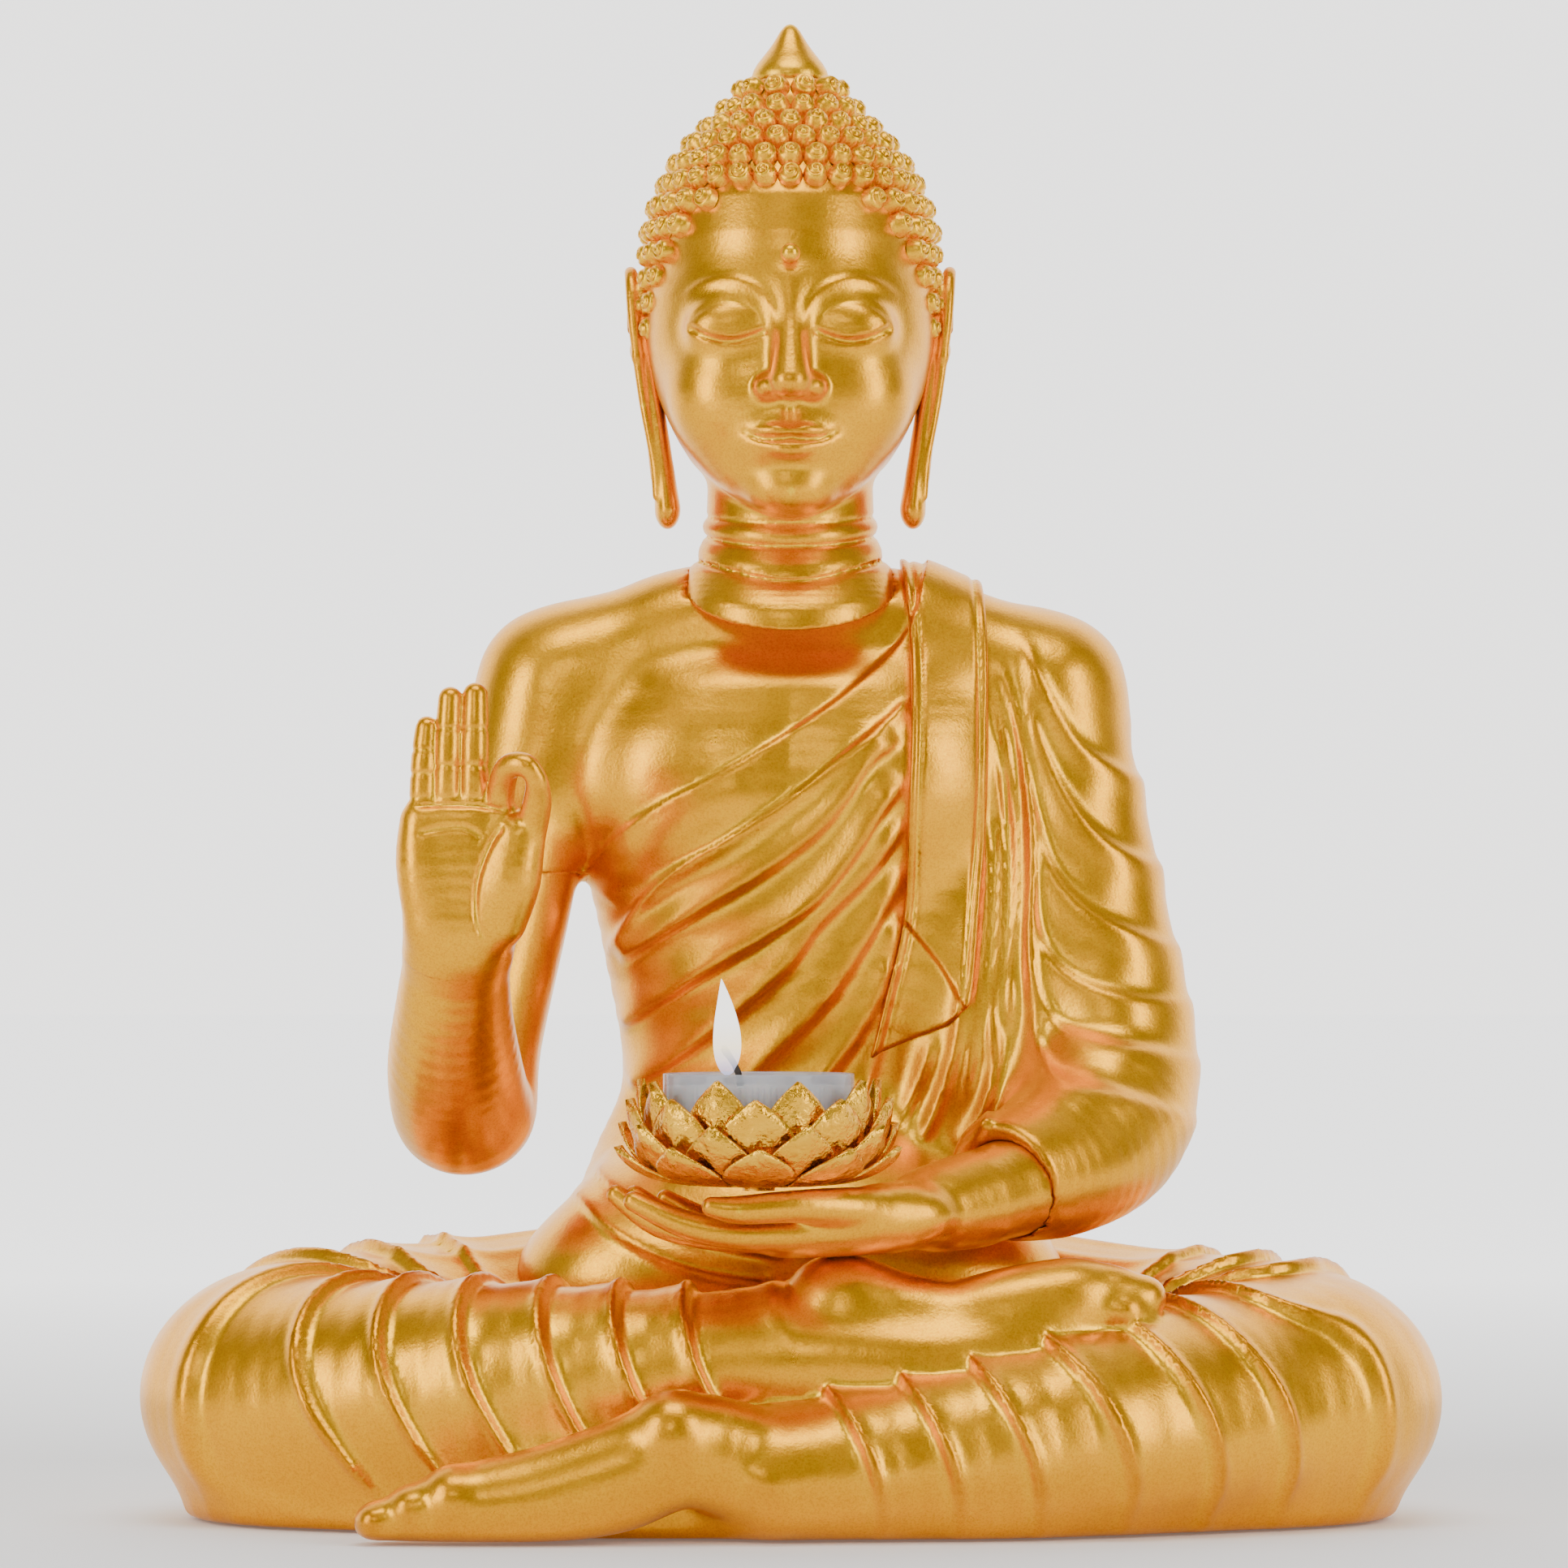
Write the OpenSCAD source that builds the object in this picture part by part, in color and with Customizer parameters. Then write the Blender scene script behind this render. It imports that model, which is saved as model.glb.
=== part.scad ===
// A seated figure in gold-painted cast resin, one hand raised and the other
// holding a metal lotus with a tealight.
// Millimetres, +Z up. The figure faces -Y, and its own right hand is on the -X side.
// The origin is the middle of the felt that the figure stands on.

/* [Castings] */
// Wall of the hollow lap and torso castings
wall = 6; // [5:0.5:7]
// Diameter of the steel dowels between castings
dowel_d = 5; // [4:0.5:5]
// Clearance round a dowel, on the radius
dowel_play = 0.25; // [0.2:0.05:0.4]
// How far the shoulder shawl stands off the robe
shawl_t = 2; // [1.5:0.5:2.5]

/* [Base] */
// Thickness of the felt under the base plate
felt_t = 1.5; // [1:0.5:2]
// Thickness of the plate that closes the lap casting
plate_t = 3; // [2:0.5:4]
// How far the felt stands below the casting's rim
felt_proud = 0.5; // [0.5:0.1:1]

/* [Hair] */
// Radius of one curl at its foot
curl_r = 2.45; // [2.2:0.05:2.5]
// Spacing of the rows of curls, along the scalp
row_step = 5.1; // [5:0.1:6]

/* [Lotus] */
// Petals in each tier
petals = 9; // [8:1:10]
// Thickness of the petal metal
petal_t = 0.6; // [0.5:0.1:0.6]

/* [Tealight] */
// Diameter of the tealight's cup
tealight_d = 38; // [37:0.5:38]
// Height of the tealight's cup
tealight_h = 16.5; // [14:0.5:17]
// Wall of the tealight's cup
cup_t = 0.7; // [0.5:0.1:1]
// Depth of the wax below the cup's rim
wax_drop = 2.5; // [2:0.5:5]

/* [Hidden] */

facets = 17;
gold = [0.83, 0.60, 0.18];
dark_gold = [0.72, 0.50, 0.14];
steel = [0.75, 0.76, 0.78];
rim_z = felt_proud;
big = 400;

// Chains of ellipsoids, as [centre, radii]. Each limb is a hull from one to the next.
right_leg = [
    [[-36, 28, 32], [30, 32, 30]],
    [[-102, -14, 25], [29, 34, 25.5]],
    [[-60, -44, 27], [26, 22, 21]],
    [[-8, -54, 34], [16, 14, 14]]
];
left_leg = [
    [[36, 28, 32], [30, 32, 30]],
    [[102, -16, 24], [29.5, 36, 26]],
    [[55, -52, 19], [26, 26, 21]],
    [[8, -66, 13], [18, 19, 15]],
    [[-18, -72, 13], [12, 14, 13]]
];
right_foot = [
    [[4, -54, 44], [10.5, 10, 11]],
    [[34, -52, 42], [12, 10, 10]],
    [[54, -50, 45], [10, 9, 8.5]],
    [[69, -48, 48], [5, 6, 4]]
];
left_foot = [
    [[-20, -74, 17], [12, 12, 12]],
    [[-46, -76, 10], [12, 12, 11]],
    [[-66, -77, 7], [9, 11, 9]],
    [[-79, -77, 5], [7, 8, 5]]
];
lap_middle = [
    [[-40, 6, 26], [30, 50, 24]],
    [[40, 6, 26], [30, 50, 24]]
];
seat_back = [
    [[-32, 34, 26], [34, 36, 28]],
    [[32, 34, 26], [34, 36, 28]]
];
spine = [
    [[0, 26, 52], [48, 32, 24]],
    [[0, 25, 90], [33.5, 27, 20]],
    [[0, 22, 122], [39, 29, 22]],
    [[0, 20, 148], [46, 29, 22]],
    [[0, 19, 168], [44, 24, 16]],
    [[0, 18, 184], [23, 18, 9]]
];
shoulders = [
    [[-50, 20, 170], [13.5, 15, 13.5]],
    [[0, 18, 181], [28, 16, 13]],
    [[53, 20, 169], [15, 16, 14.5]]
];
sleeve_drape = [
    [[22, 16, 104], [22, 22, 26]],
    [[56, 6, 92], [20, 19, 24]]
];
right_arm_chain = [
    [[-50, 20, 170], [13.5, 15, 13.5]],
    [[-59, 12, 128], [14, 15, 15]],
    [[-66.5, 2, 84], [15, 15, 15]],
    [[-67, -46, 115], [10.8, 10.5, 10]]
];
left_arm_chain = [
    [[53, 20, 169], [15, 16, 14.5]],
    [[60, 14, 128], [17.5, 17, 17]],
    [[66, 6, 88], [18.5, 20, 19]],
    [[40, -40, 69], [14, 13, 14]]
];
scalp_profile = [
    [214, 21], [222, 24.5], [232, 27.4], [244, 29.2], [255, 29.7], [264, 29.2],
    [272, 27.2], [279, 23.6], [285, 18.9], [290, 13.8], [294, 10], [298, 7.7]
];
scalp_y = 16;
scalp_depth = 1.08;
jaw = [
    [[0, 10, 240], [29, 27, 16]],
    [[0, 3, 227], [24.5, 21, 13]],
    [[0, -4, 214], [12, 11, 8]]
];
neck = [
    [[0, 17, 214], [18, 18, 10]],
    [[0, 16, 190], [18.5, 18.5, 8]]
];
right_palm = [
    [[-67, -48, 118], [10, 8, 8]],
    [[-63, -52, 134], [14, 6.5, 12]]
];
// Each finger is a base, a knuckle and a tip, then its radius
right_fingers = [
    [[-73.2, -53, 146], [-73.4, -54, 154], [-73.2, -54, 160.5], 2.5],
    [[-68.7, -53, 146], [-68.7, -54.5, 157], [-68.6, -54.5, 166.5], 2.7],
    [[-63.2, -53, 146], [-62.8, -54.5, 158], [-62.6, -54.5, 167.4], 2.9],
    [[-57.6, -53, 145], [-57.5, -58, 153], [-51, -60, 152.5], 2.8],
    [[-55, -53, 128], [-50.6, -55, 142], [-51, -60.5, 148.5], 3.1]
];
left_palm = [
    [[38, -44, 66], [11, 10, 10]],
    [[22, -54, 62], [13, 11, 7.5]],
    [[4, -60, 61.5], [12, 13, 6.5]]
];
left_fingers = [
    [[0, -70, 61], [-14, -71, 61.5], [-30, -69, 67], 3],
    [[-6, -63, 60.5], [-20, -62, 62], [-34, -60, 67.5], 3],
    [[-6, -57, 60.5], [-19, -55, 62], [-31, -53, 67], 2.9],
    [[-4, -51, 60.5], [-14, -49, 62], [-25, -47, 66], 2.6],
    [[16, -66, 63.5], [2, -76, 64.5], [-12, -77, 65.5], 3.2]
];
waist_column_r = 20;
waist_y = 25;
seam_z = 132.5;
wrist_dir = [0, 30, 0];

lotus_at = [-6.3, -62];
lotus_z = 69.8;
tier_step = 1.2;
// Each tier, from the outside in: [radius of the flat, radius at the tips, height of the tips]
tiers = [[13, 27.8, 7.2], [16.5, 27.5, 10.5], [19, 26.3, 14.3], [20.9, 24.4, 16.6]];
rivet_r = 1.6;
seat_z = lotus_z + 3 * tier_step + petal_t + 0.3;
seat_r = tealight_d / 2 + 0.8;
seat_floor = 1;
seat_rim = 2.6;
tealight_z = seat_z + seat_floor + 0.3;
wax_r = tealight_d / 2 - cup_t;
clip_r = 6.5;
clip_t = 0.4;
wick_r = 0.75;
wick_x = -3.6;

function grown(radii, g) = [radii[0] + g, radii[1] + g, radii[2] + g];

// One ellipsoid of a chain
module blob(link, grow = 0)
    hull()
        translate(link[0])
            scale(grown(link[1], grow))
                sphere(r = 1, $fn = facets);

module limb(chain, grow = 0)
    for (i = [0 : len(chain) - 2])
        hull() {
            blob(chain[i], grow);
            blob(chain[i + 1], grow);
        }

module finger(f)
    for (i = [0 : 1])
        hull() {
            translate(f[i]) sphere(r = f[3], $fn = 12);
            translate(f[i + 1]) sphere(r = f[3] * (1 - 0.12 * i), $fn = 12);
        }

module above(z) translate([-big / 2, -big / 2, z]) cube([big, big, big]);
module below(z) translate([-big / 2, -big / 2, z - big]) cube([big, big, big]);

// A dowel, or the hole for it when play is given
module dowel(at, turn, length, play = 0)
    translate(at)
        rotate(turn)
            cylinder(d = dowel_d + 2 * play, h = length + 2 * play, center = true, $fn = 32);

module waist_dowels_at(play = 0)
    for (side = [-1, 1])
        dowel([side * 31, waist_y, 54], [0, 0, 0], 30, play);
module neck_dowel_at(play = 0) dowel([0, 17, 190], [0, 0, 0], 34, play);
module right_arm_dowel_at(play = 0) dowel([-58, 12.5, seam_z], [10, 11, 0], 26, play);
module right_wrist_dowel_at(play = 0) dowel([-66, -48, 121], [18, 0, 0], 16, play);
module left_wrist_dowel_at(play = 0) dowel([36, -46, 66.5], [90, 0, 58], 16, play);

// The outside of each casting, before its neighbours are taken away
module lap_outside() {
    limb(right_leg);
    limb(left_leg);
    limb(right_foot);
    limb(left_foot);
    limb(lap_middle);
    limb(seat_back);
    linear_extrude(12) base_outline(-4);
}

module torso_outside(grow = 0) {
    limb(spine, grow);
    limb(shoulders, grow);
    limb(left_arm_chain, grow);
    limb(sleeve_drape, grow);
}

module waist_column()
    translate([0, waist_y, 0]) cylinder(r = waist_column_r, h = 80, $fn = 40);

module base_outline(inset = 0)
    hull()
        for (side = [-1, 1]) {
            translate([side * 82, -12]) circle(r = 20 - inset, $fn = 32);
            translate([side * 28, 27]) circle(r = 24 - inset, $fn = 32);
            translate([side * 36, -38]) circle(r = 20 - inset, $fn = 32);
        }

module lap_cavity() {
    hull()
        for (side = [-1, 1]) {
            blob([[side * 86, -14, 24], [29 - wall, 26 - wall, 22 - wall]]);
            blob([[side * 30, 26, 26], [30 - wall, 30 - wall, 26 - wall]]);
        }
    translate([0, 0, -1]) linear_extrude(felt_t + plate_t + 1.2) base_outline();
    translate([0, 0, -1]) linear_extrude(25) base_outline(4);
}

module torso_cavity() {
    intersection() {
        limb([for (link = [for (i = [1 : 3]) spine[i]]) link], -wall);
        above(60);
    }
    waist_column();
}

function ring(z, r) = [
    for (i = [0 : facets * 2 - 1])
        let (a = 360 * i / (facets * 2))
            [r * cos(a), scalp_y + scalp_depth * r * sin(a), z]
];

// Closed skin over a stack of rings with the same number of points
module skin(rings) {
    n = len(rings[0]);
    m = len(rings);
    walls = [
        for (j = [0 : m - 2], i = [0 : n - 1])
            each [
                [j * n + i, (j + 1) * n + (i + 1) % n, j * n + (i + 1) % n],
                [j * n + i, (j + 1) * n + i, (j + 1) * n + (i + 1) % n]
            ]
    ];
    foot = [for (i = [0 : n - 1]) i];
    top = [for (i = [n - 1 : -1 : 0]) (m - 1) * n + i];
    polyhedron(points = [for (r = rings) each r], faces = concat(walls, [foot, top]));
}

module scalp() skin([for (p = scalp_profile) ring(p[0], p[1])]);

module head_outside() {
    scalp();
    limb(jaw);
    limb(neck);
}

module lap_casting()
    color(gold)
        difference() {
            intersection() {
                lap_outside();
                above(rim_z);
            }
            lap_cavity();
            waist_column();
            waist_dowels_at(dowel_play);
        }

module torso_casting()
    color(gold)
        difference() {
            union() {
                torso_outside();
                intersection() {
                    limb(right_arm_chain);
                    above(seam_z);
                }
            }
            below(rim_z + 30);
            lap_outside();
            torso_cavity();
            limb(neck);
            waist_dowels_at(dowel_play);
            neck_dowel_at(dowel_play);
            right_arm_dowel_at(dowel_play);
            left_wrist_dowel_at(dowel_play);
        }

module shawl_outline()
    polygon([[23, 196], [40.5, 196], [41.5, 150], [37, 104], [18, 93], [22, 122]]);

module shoulder_shawl()
    color(dark_gold)
        difference() {
            intersection() {
                torso_outside(shawl_t);
                rotate([90, 0, 0]) linear_extrude(big, center = true) shawl_outline();
            }
            torso_outside();
            head_outside();
            limb(left_palm);
        }

module head_casting()
    color(gold)
        difference() {
            head_outside();
            neck_dowel_at(dowel_play);
            finial_peg(dowel_play);
        }

module ear_outside(side) {
    hull() {
        blob([[side * 30.5, 17, 252], [3.4, 6, 6]]);
        blob([[side * 29.5, 17, 238], [2.6, 5, 7]]);
    }
    hull() {
        blob([[side * 29.5, 17, 238], [2.6, 5, 7]]);
        blob([[side * 25.8, 14, 209.5], [3.3, 4, 4.5]]);
    }
    hull() blob([[side * 30.5, 17, 252], [3.4, 6, 6]]);
    hull() blob([[side * 25.8, 14, 209.5], [3.3, 4, 4.5]]);
}

module ear(side)
    color(gold)
        difference() {
            ear_outside(side);
            head_outside();
        }

module forehead_bead()
    color(gold)
        difference() {
            translate([0, -15.4, 259]) sphere(r = 1.8, $fn = 24);
            head_outside();
        }

module finial_peg(play = 0)
    translate([0, scalp_y, 291]) cylinder(r = 2.5 + play, h = 8, $fn = 32);

module finial()
    color(gold) {
        translate([0, scalp_y, 0])
            rotate_extrude($fn = 48)
                polygon([
                    [0, 298.05], [7.7, 298.05], [8, 299], [7.5, 300.6], [6.1, 302.6],
                    [4.4, 304.8], [2.9, 307], [1.9, 308.8], [1.1, 309.7], [0, 310]
                ]);
        translate([0, scalp_y, 291.3]) cylinder(r = 2.5, h = 7, $fn = 32);
    }

// One curl, a round pellet standing just clear of the scalp
module curl() translate([0, 0, curl_r]) sphere(r = curl_r, $fn = 24);

// Height of the hairline at an angle from straight ahead
function hairline(a) = lookup(a, [
    [0, 274.2], [25, 273.2], [38, 271], [54, 265.5], [66, 257.5], [72, 250], [77, 246],
    [79, 263], [105, 263], [108, 246], [124, 222], [180, 217]
]);

function scalp_r(z) = lookup(z, scalp_profile);
function slope(z) = (scalp_r(z + 0.5) - scalp_r(z - 0.5));

// Heights of the rows, from the top down, a step apart along the scalp
function rows(z) = z < 217 ? [] : concat([z], rows(z - row_step / norm([1, slope(z)])));

// Curls whose row and angle lie in a zone; the angle is measured from straight ahead
module curls(z_low, z_high, a_low, a_high)
    color(dark_gold) {
        heights = rows(295.5);
        for (k = [0 : len(heights) - 1])
            let (z = heights[k], r = scalp_r(z), n = floor(PI * r * (1 + scalp_depth) / (2 * curl_r + 0.35)))
                if (z > z_low && z <= z_high)
                    for (i = [0 : n - 1])
                        let (a = 360 * (i + 0.5 * (k % 2)) / n - 180)
                            if (abs(a) >= a_low && abs(a) < a_high && z > hairline(abs(a)))
                                curl_at(z, r, a);
    }

// A curl stood on the scalp, its foot just clear of the skin
module curl_at(z, r, a) {
    out = [scalp_depth * sin(a), -cos(a), -slope(z) * scalp_depth];
    lean = atan2(norm([out[0], out[1]]), out[2]);
    heading = atan2(out[1], out[0]);
    lift = 0.12;
    translate([r * sin(a), scalp_y - scalp_depth * r * cos(a), z])
        rotate([0, lean, heading])
            translate([0, 0, lift]) curl();
}

module right_arm()
    color(gold)
        difference() {
            intersection() {
                limb(right_arm_chain);
                below(seam_z);
            }
            torso_outside();
            lap_outside();
            right_arm_dowel_at(dowel_play);
            right_wrist_dowel_at(dowel_play);
        }

module right_hand()
    color(gold)
        difference() {
            union() {
                limb(right_palm);
                for (f = right_fingers) finger(f);
            }
            limb(right_arm_chain);
            right_wrist_dowel_at(dowel_play);
        }

// The room that the lotus takes above the open hand
module lotus_room()
    translate([lotus_at[0], lotus_at[1], lotus_z - 1.1])
        cylinder(r1 = 17, r2 = 32, h = 8, $fn = 40);

module left_hand()
    color(gold)
        difference() {
            union() {
                limb(left_palm);
                for (f = left_fingers) finger(f);
            }
            torso_outside();
            lap_outside();
            lotus_room();
            left_wrist_dowel_at(dowel_play);
        }

// One petal as a bent plate: u runs across it and v from its root to its tip
function petal_half(v) = (v < 0.45 ? 0.62 + 0.84 * v : sqrt(max(0, 1 - pow((v - 0.45) / 0.55, 2)))) ;
function petal_point(t, u, v, lift) =
    let (
        flat = tiers[t][0],
        a = 90 * v,
        spread = tiers[t][1] - flat + 1.5,
        steep = atan2(tiers[t][2] * sin(a), spread * cos(a)),
        r = flat - 1.5 + spread * sin(a) - lift * sin(steep),
        z = tiers[t][2] * (1 - cos(a)) + lift * cos(steep),
        swing = u * 180 / petals * 0.92 * max(petal_half(v), 0.04)
    )
        [r * sin(swing), -r * cos(swing), z];

module petal(t) {
    across = 4;
    along = 5;
    low = [for (j = [0 : along], i = [0 : across]) petal_point(t, 2 * i / across - 1, j / along, 0)];
    high = [for (j = [0 : along], i = [0 : across]) petal_point(t, 2 * i / across - 1, j / along, petal_t)];
    w = across + 1;
    n = len(low);
    sheet = [
        for (j = [0 : along - 1], i = [0 : across - 1])
            let (p = j * w + i)
                each [
                    [p, p + 1, p + w + 1], [p, p + w + 1, p + w],
                    [n + p, n + p + w + 1, n + p + 1], [n + p, n + p + w, n + p + w + 1]
                ]
    ];
    ends = [
        for (i = [0 : across - 1])
            each [
                [i, n + i + 1, i + 1], [i, n + i, n + i + 1],
                [along * w + i, along * w + i + 1, n + along * w + i + 1],
                [along * w + i, n + along * w + i + 1, n + along * w + i]
            ]
    ];
    sides = [
        for (j = [0 : along - 1])
            let (p = j * w, q = j * w + across)
                each [
                    [p, p + w, n + p + w], [p, n + p + w, n + p],
                    [q, n + q + w, q + w], [q, n + q, n + q + w]
                ]
    ];
    polyhedron(points = concat(low, high), faces = [for (f = concat(sheet, ends, sides)) [f[2], f[1], f[0]]]);
}

module lotus_tier(t)
    color(gold)
        translate([lotus_at[0], lotus_at[1], lotus_z + t * tier_step]) {
            difference() {
                cylinder(r = tiers[t][0] - 1, h = petal_t, $fn = 72);
                translate([0, 0, -1]) cylinder(r = rivet_r + 0.1, h = 3, $fn = 32);
            }
            for (i = [0 : petals - 1])
                rotate([0, 0, 360 * (i + 0.5 * (t % 2)) / petals]) petal(t);
        }

module lotus_rivet()
    color(dark_gold)
        translate([lotus_at[0], lotus_at[1], 0]) {
            translate([0, 0, lotus_z - 1]) cylinder(r = 3.2, h = 0.95, $fn = 32);
            translate([0, 0, lotus_z - 0.5]) cylinder(r = rivet_r, h = seat_z - lotus_z + 1.4, $fn = 32);
        }

module candle_seat()
    color(dark_gold)
        translate([lotus_at[0], lotus_at[1], seat_z])
            difference() {
                cylinder(r = seat_r, h = seat_floor + seat_rim, $fn = 72);
                translate([0, 0, seat_floor]) cylinder(r = seat_r - 0.45, h = 9, $fn = 72);
                translate([0, 0, -1]) cylinder(r = rivet_r + 0.1, h = 9, $fn = 32);
            }

module at_tealight(lift = 0)
    translate([lotus_at[0], lotus_at[1], tealight_z + lift]) children();

module tealight_cup()
    color([0.85, 0.9, 0.95, 0.4])
        at_tealight()
            difference() {
                cylinder(d = tealight_d, h = tealight_h, $fn = 72);
                translate([0, 0, cup_t]) cylinder(r = wax_r, h = 99, $fn = 72);
            }

module tealight_wax()
    color([0.96, 0.95, 0.92])
        at_tealight(cup_t)
            difference() {
                cylinder(r = wax_r, h = tealight_h - cup_t - wax_drop, $fn = 72);
                translate([wick_x, 0, -1]) {
                    cylinder(r = clip_r + 0.05, h = 1 + clip_t, $fn = 40);
                    cylinder(r = 1.75, h = 4.4, $fn = 32);
                    cylinder(r = wick_r, h = 99, $fn = 24);
                }
            }

module wick_clip()
    color(steel)
        at_tealight(cup_t)
            translate([wick_x, 0, 0])
                difference() {
                    union() {
                        cylinder(r = clip_r, h = clip_t, $fn = 40);
                        cylinder(r = 1.7, h = 3.4, $fn = 32);
                    }
                    translate([0, 0, clip_t]) cylinder(r = wick_r, h = 9, $fn = 24);
                }

module wick()
    color([0.1, 0.08, 0.07])
        at_tealight(cup_t + clip_t)
            translate([wick_x, 0, 0])
                cylinder(r = wick_r, h = tealight_h - cup_t - clip_t - wax_drop + 6, $fn = 24);

module base_plate()
    color([0.25, 0.22, 0.2])
        translate([0, 0, felt_t]) linear_extrude(plate_t) base_outline(0.3);

module felt_pad()
    color([0.2, 0.1, 0.08])
        linear_extrude(felt_t) base_outline(1.5);

lap_casting();
torso_casting();
shoulder_shawl();
head_casting();
ear(-1);  // right_ear
ear(1);  // left_ear
forehead_bead();
finial();
curls(255, 279, 0, 50);  // hairline_curls
curls(279, 290, 0, 181);  // crown_curls
curls(200, 279, 50, 110);  // side_curls
curls(200, 279, 110, 181);  // nape_curls
curls(290, 300, 0, 181);  // top_curls
right_arm();
right_hand();
left_hand();
color(steel) waist_dowels_at();  // waist_dowels
color(steel) neck_dowel_at();  // neck_dowel
color(steel) right_arm_dowel_at();  // right_arm_dowel
color(steel) right_wrist_dowel_at();  // right_wrist_dowel
color(steel) left_wrist_dowel_at();  // left_wrist_dowel
lotus_tier(0);  // lotus_tier_1
lotus_tier(1);  // lotus_tier_2
lotus_tier(2);  // lotus_tier_3
lotus_tier(3);  // lotus_tier_4
lotus_rivet();
candle_seat();
tealight_cup();
tealight_wax();
wick_clip();
wick();
base_plate();
felt_pad();
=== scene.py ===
import math
from concurrent.futures import ThreadPoolExecutor

import bpy
import numpy as np
import openvdb
from mathutils import Matrix, Vector


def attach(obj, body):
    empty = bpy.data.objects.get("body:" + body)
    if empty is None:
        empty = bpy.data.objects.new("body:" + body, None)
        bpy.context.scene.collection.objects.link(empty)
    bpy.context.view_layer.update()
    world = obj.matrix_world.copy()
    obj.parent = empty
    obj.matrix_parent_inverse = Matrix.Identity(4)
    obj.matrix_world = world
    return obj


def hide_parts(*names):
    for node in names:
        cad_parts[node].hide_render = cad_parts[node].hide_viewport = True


# The castings are sculpted as distance fields in millimetres and then meshed.
# The figure faces -Y; its own right side is -X.

MM = 0.001
workers = ThreadPoolExecutor(4)
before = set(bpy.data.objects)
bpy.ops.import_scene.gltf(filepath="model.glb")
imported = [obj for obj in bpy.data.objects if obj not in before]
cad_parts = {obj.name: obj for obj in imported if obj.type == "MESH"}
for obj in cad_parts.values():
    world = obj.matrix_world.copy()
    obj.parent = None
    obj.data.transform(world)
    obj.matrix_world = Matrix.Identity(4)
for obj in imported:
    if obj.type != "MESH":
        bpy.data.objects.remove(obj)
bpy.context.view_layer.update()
rough = 1.0

# Past these distances from a limb or a line, its exact place no longer matters
TUBE_FAR, LINE_FAR = 14, 16
# What a grid holds well away from the surface
FIELD_FAR = 9.0


def arr(*v):
    return np.array(v, np.float32)


# ---------------------------------------------------------------- distance fields

def length(v):
    return np.sqrt(np.einsum("ij,ij->i", v, v))


def smin(a, b, k):
    h = np.clip(0.5 + 0.5 * (b - a) / k, 0, 1)
    return b + (a - b) * h - k * h * (1 - h)


def smax(a, b, k):
    return -smin(-a, -b, k)


def ramp(x, lo, hi):
    t = np.clip((x - lo) / (hi - lo), 0, 1)
    return t * t * (3 - 2 * t)


def bump(x, w):
    return np.exp(-(x / w) ** 2)


def lip(d, soft, sharp):
    """A swelling that is soft where d is positive and sharp where it is negative."""
    return np.where(d > 0, bump(d, soft), bump(d, sharp))


def faded(t, first, last):
    """1 along a line, falling to 0 before `first` and after `last`."""
    return ramp(t, 0, first) * (1 - ramp(t, last, 1))


def ellipsoid_from(q, r):
    k0 = length(q / r)
    k1 = length(q / (r * r))
    return k0 * (k0 - 1) / np.maximum(k1, 1e-6)


def ellipsoid(p, centre, radii):
    return ellipsoid_from(p - arr(*centre), arr(*radii))


def both_sides(p):
    q = p.copy()
    q[:, 0] = np.abs(q[:, 0])
    return q


def smooth_curve(rows, steps):
    """Points along a smooth curve that runs through the rows."""
    pts = np.array([rows[0]] + list(rows) + [rows[-1]], float)
    fine = []
    for i in range(1, len(pts) - 2):
        a, b, c, d = pts[i - 1:i + 3]
        for t in np.linspace(0, 1, steps, endpoint=False):
            fine.append(0.5 * (2 * b + (c - a) * t + (2 * a - 5 * b + 4 * c - d) * t ** 2
                               + (3 * b - a - 3 * c + d) * t ** 3))
    fine.append(pts[-2])
    return np.array(fine, np.float32)


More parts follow.
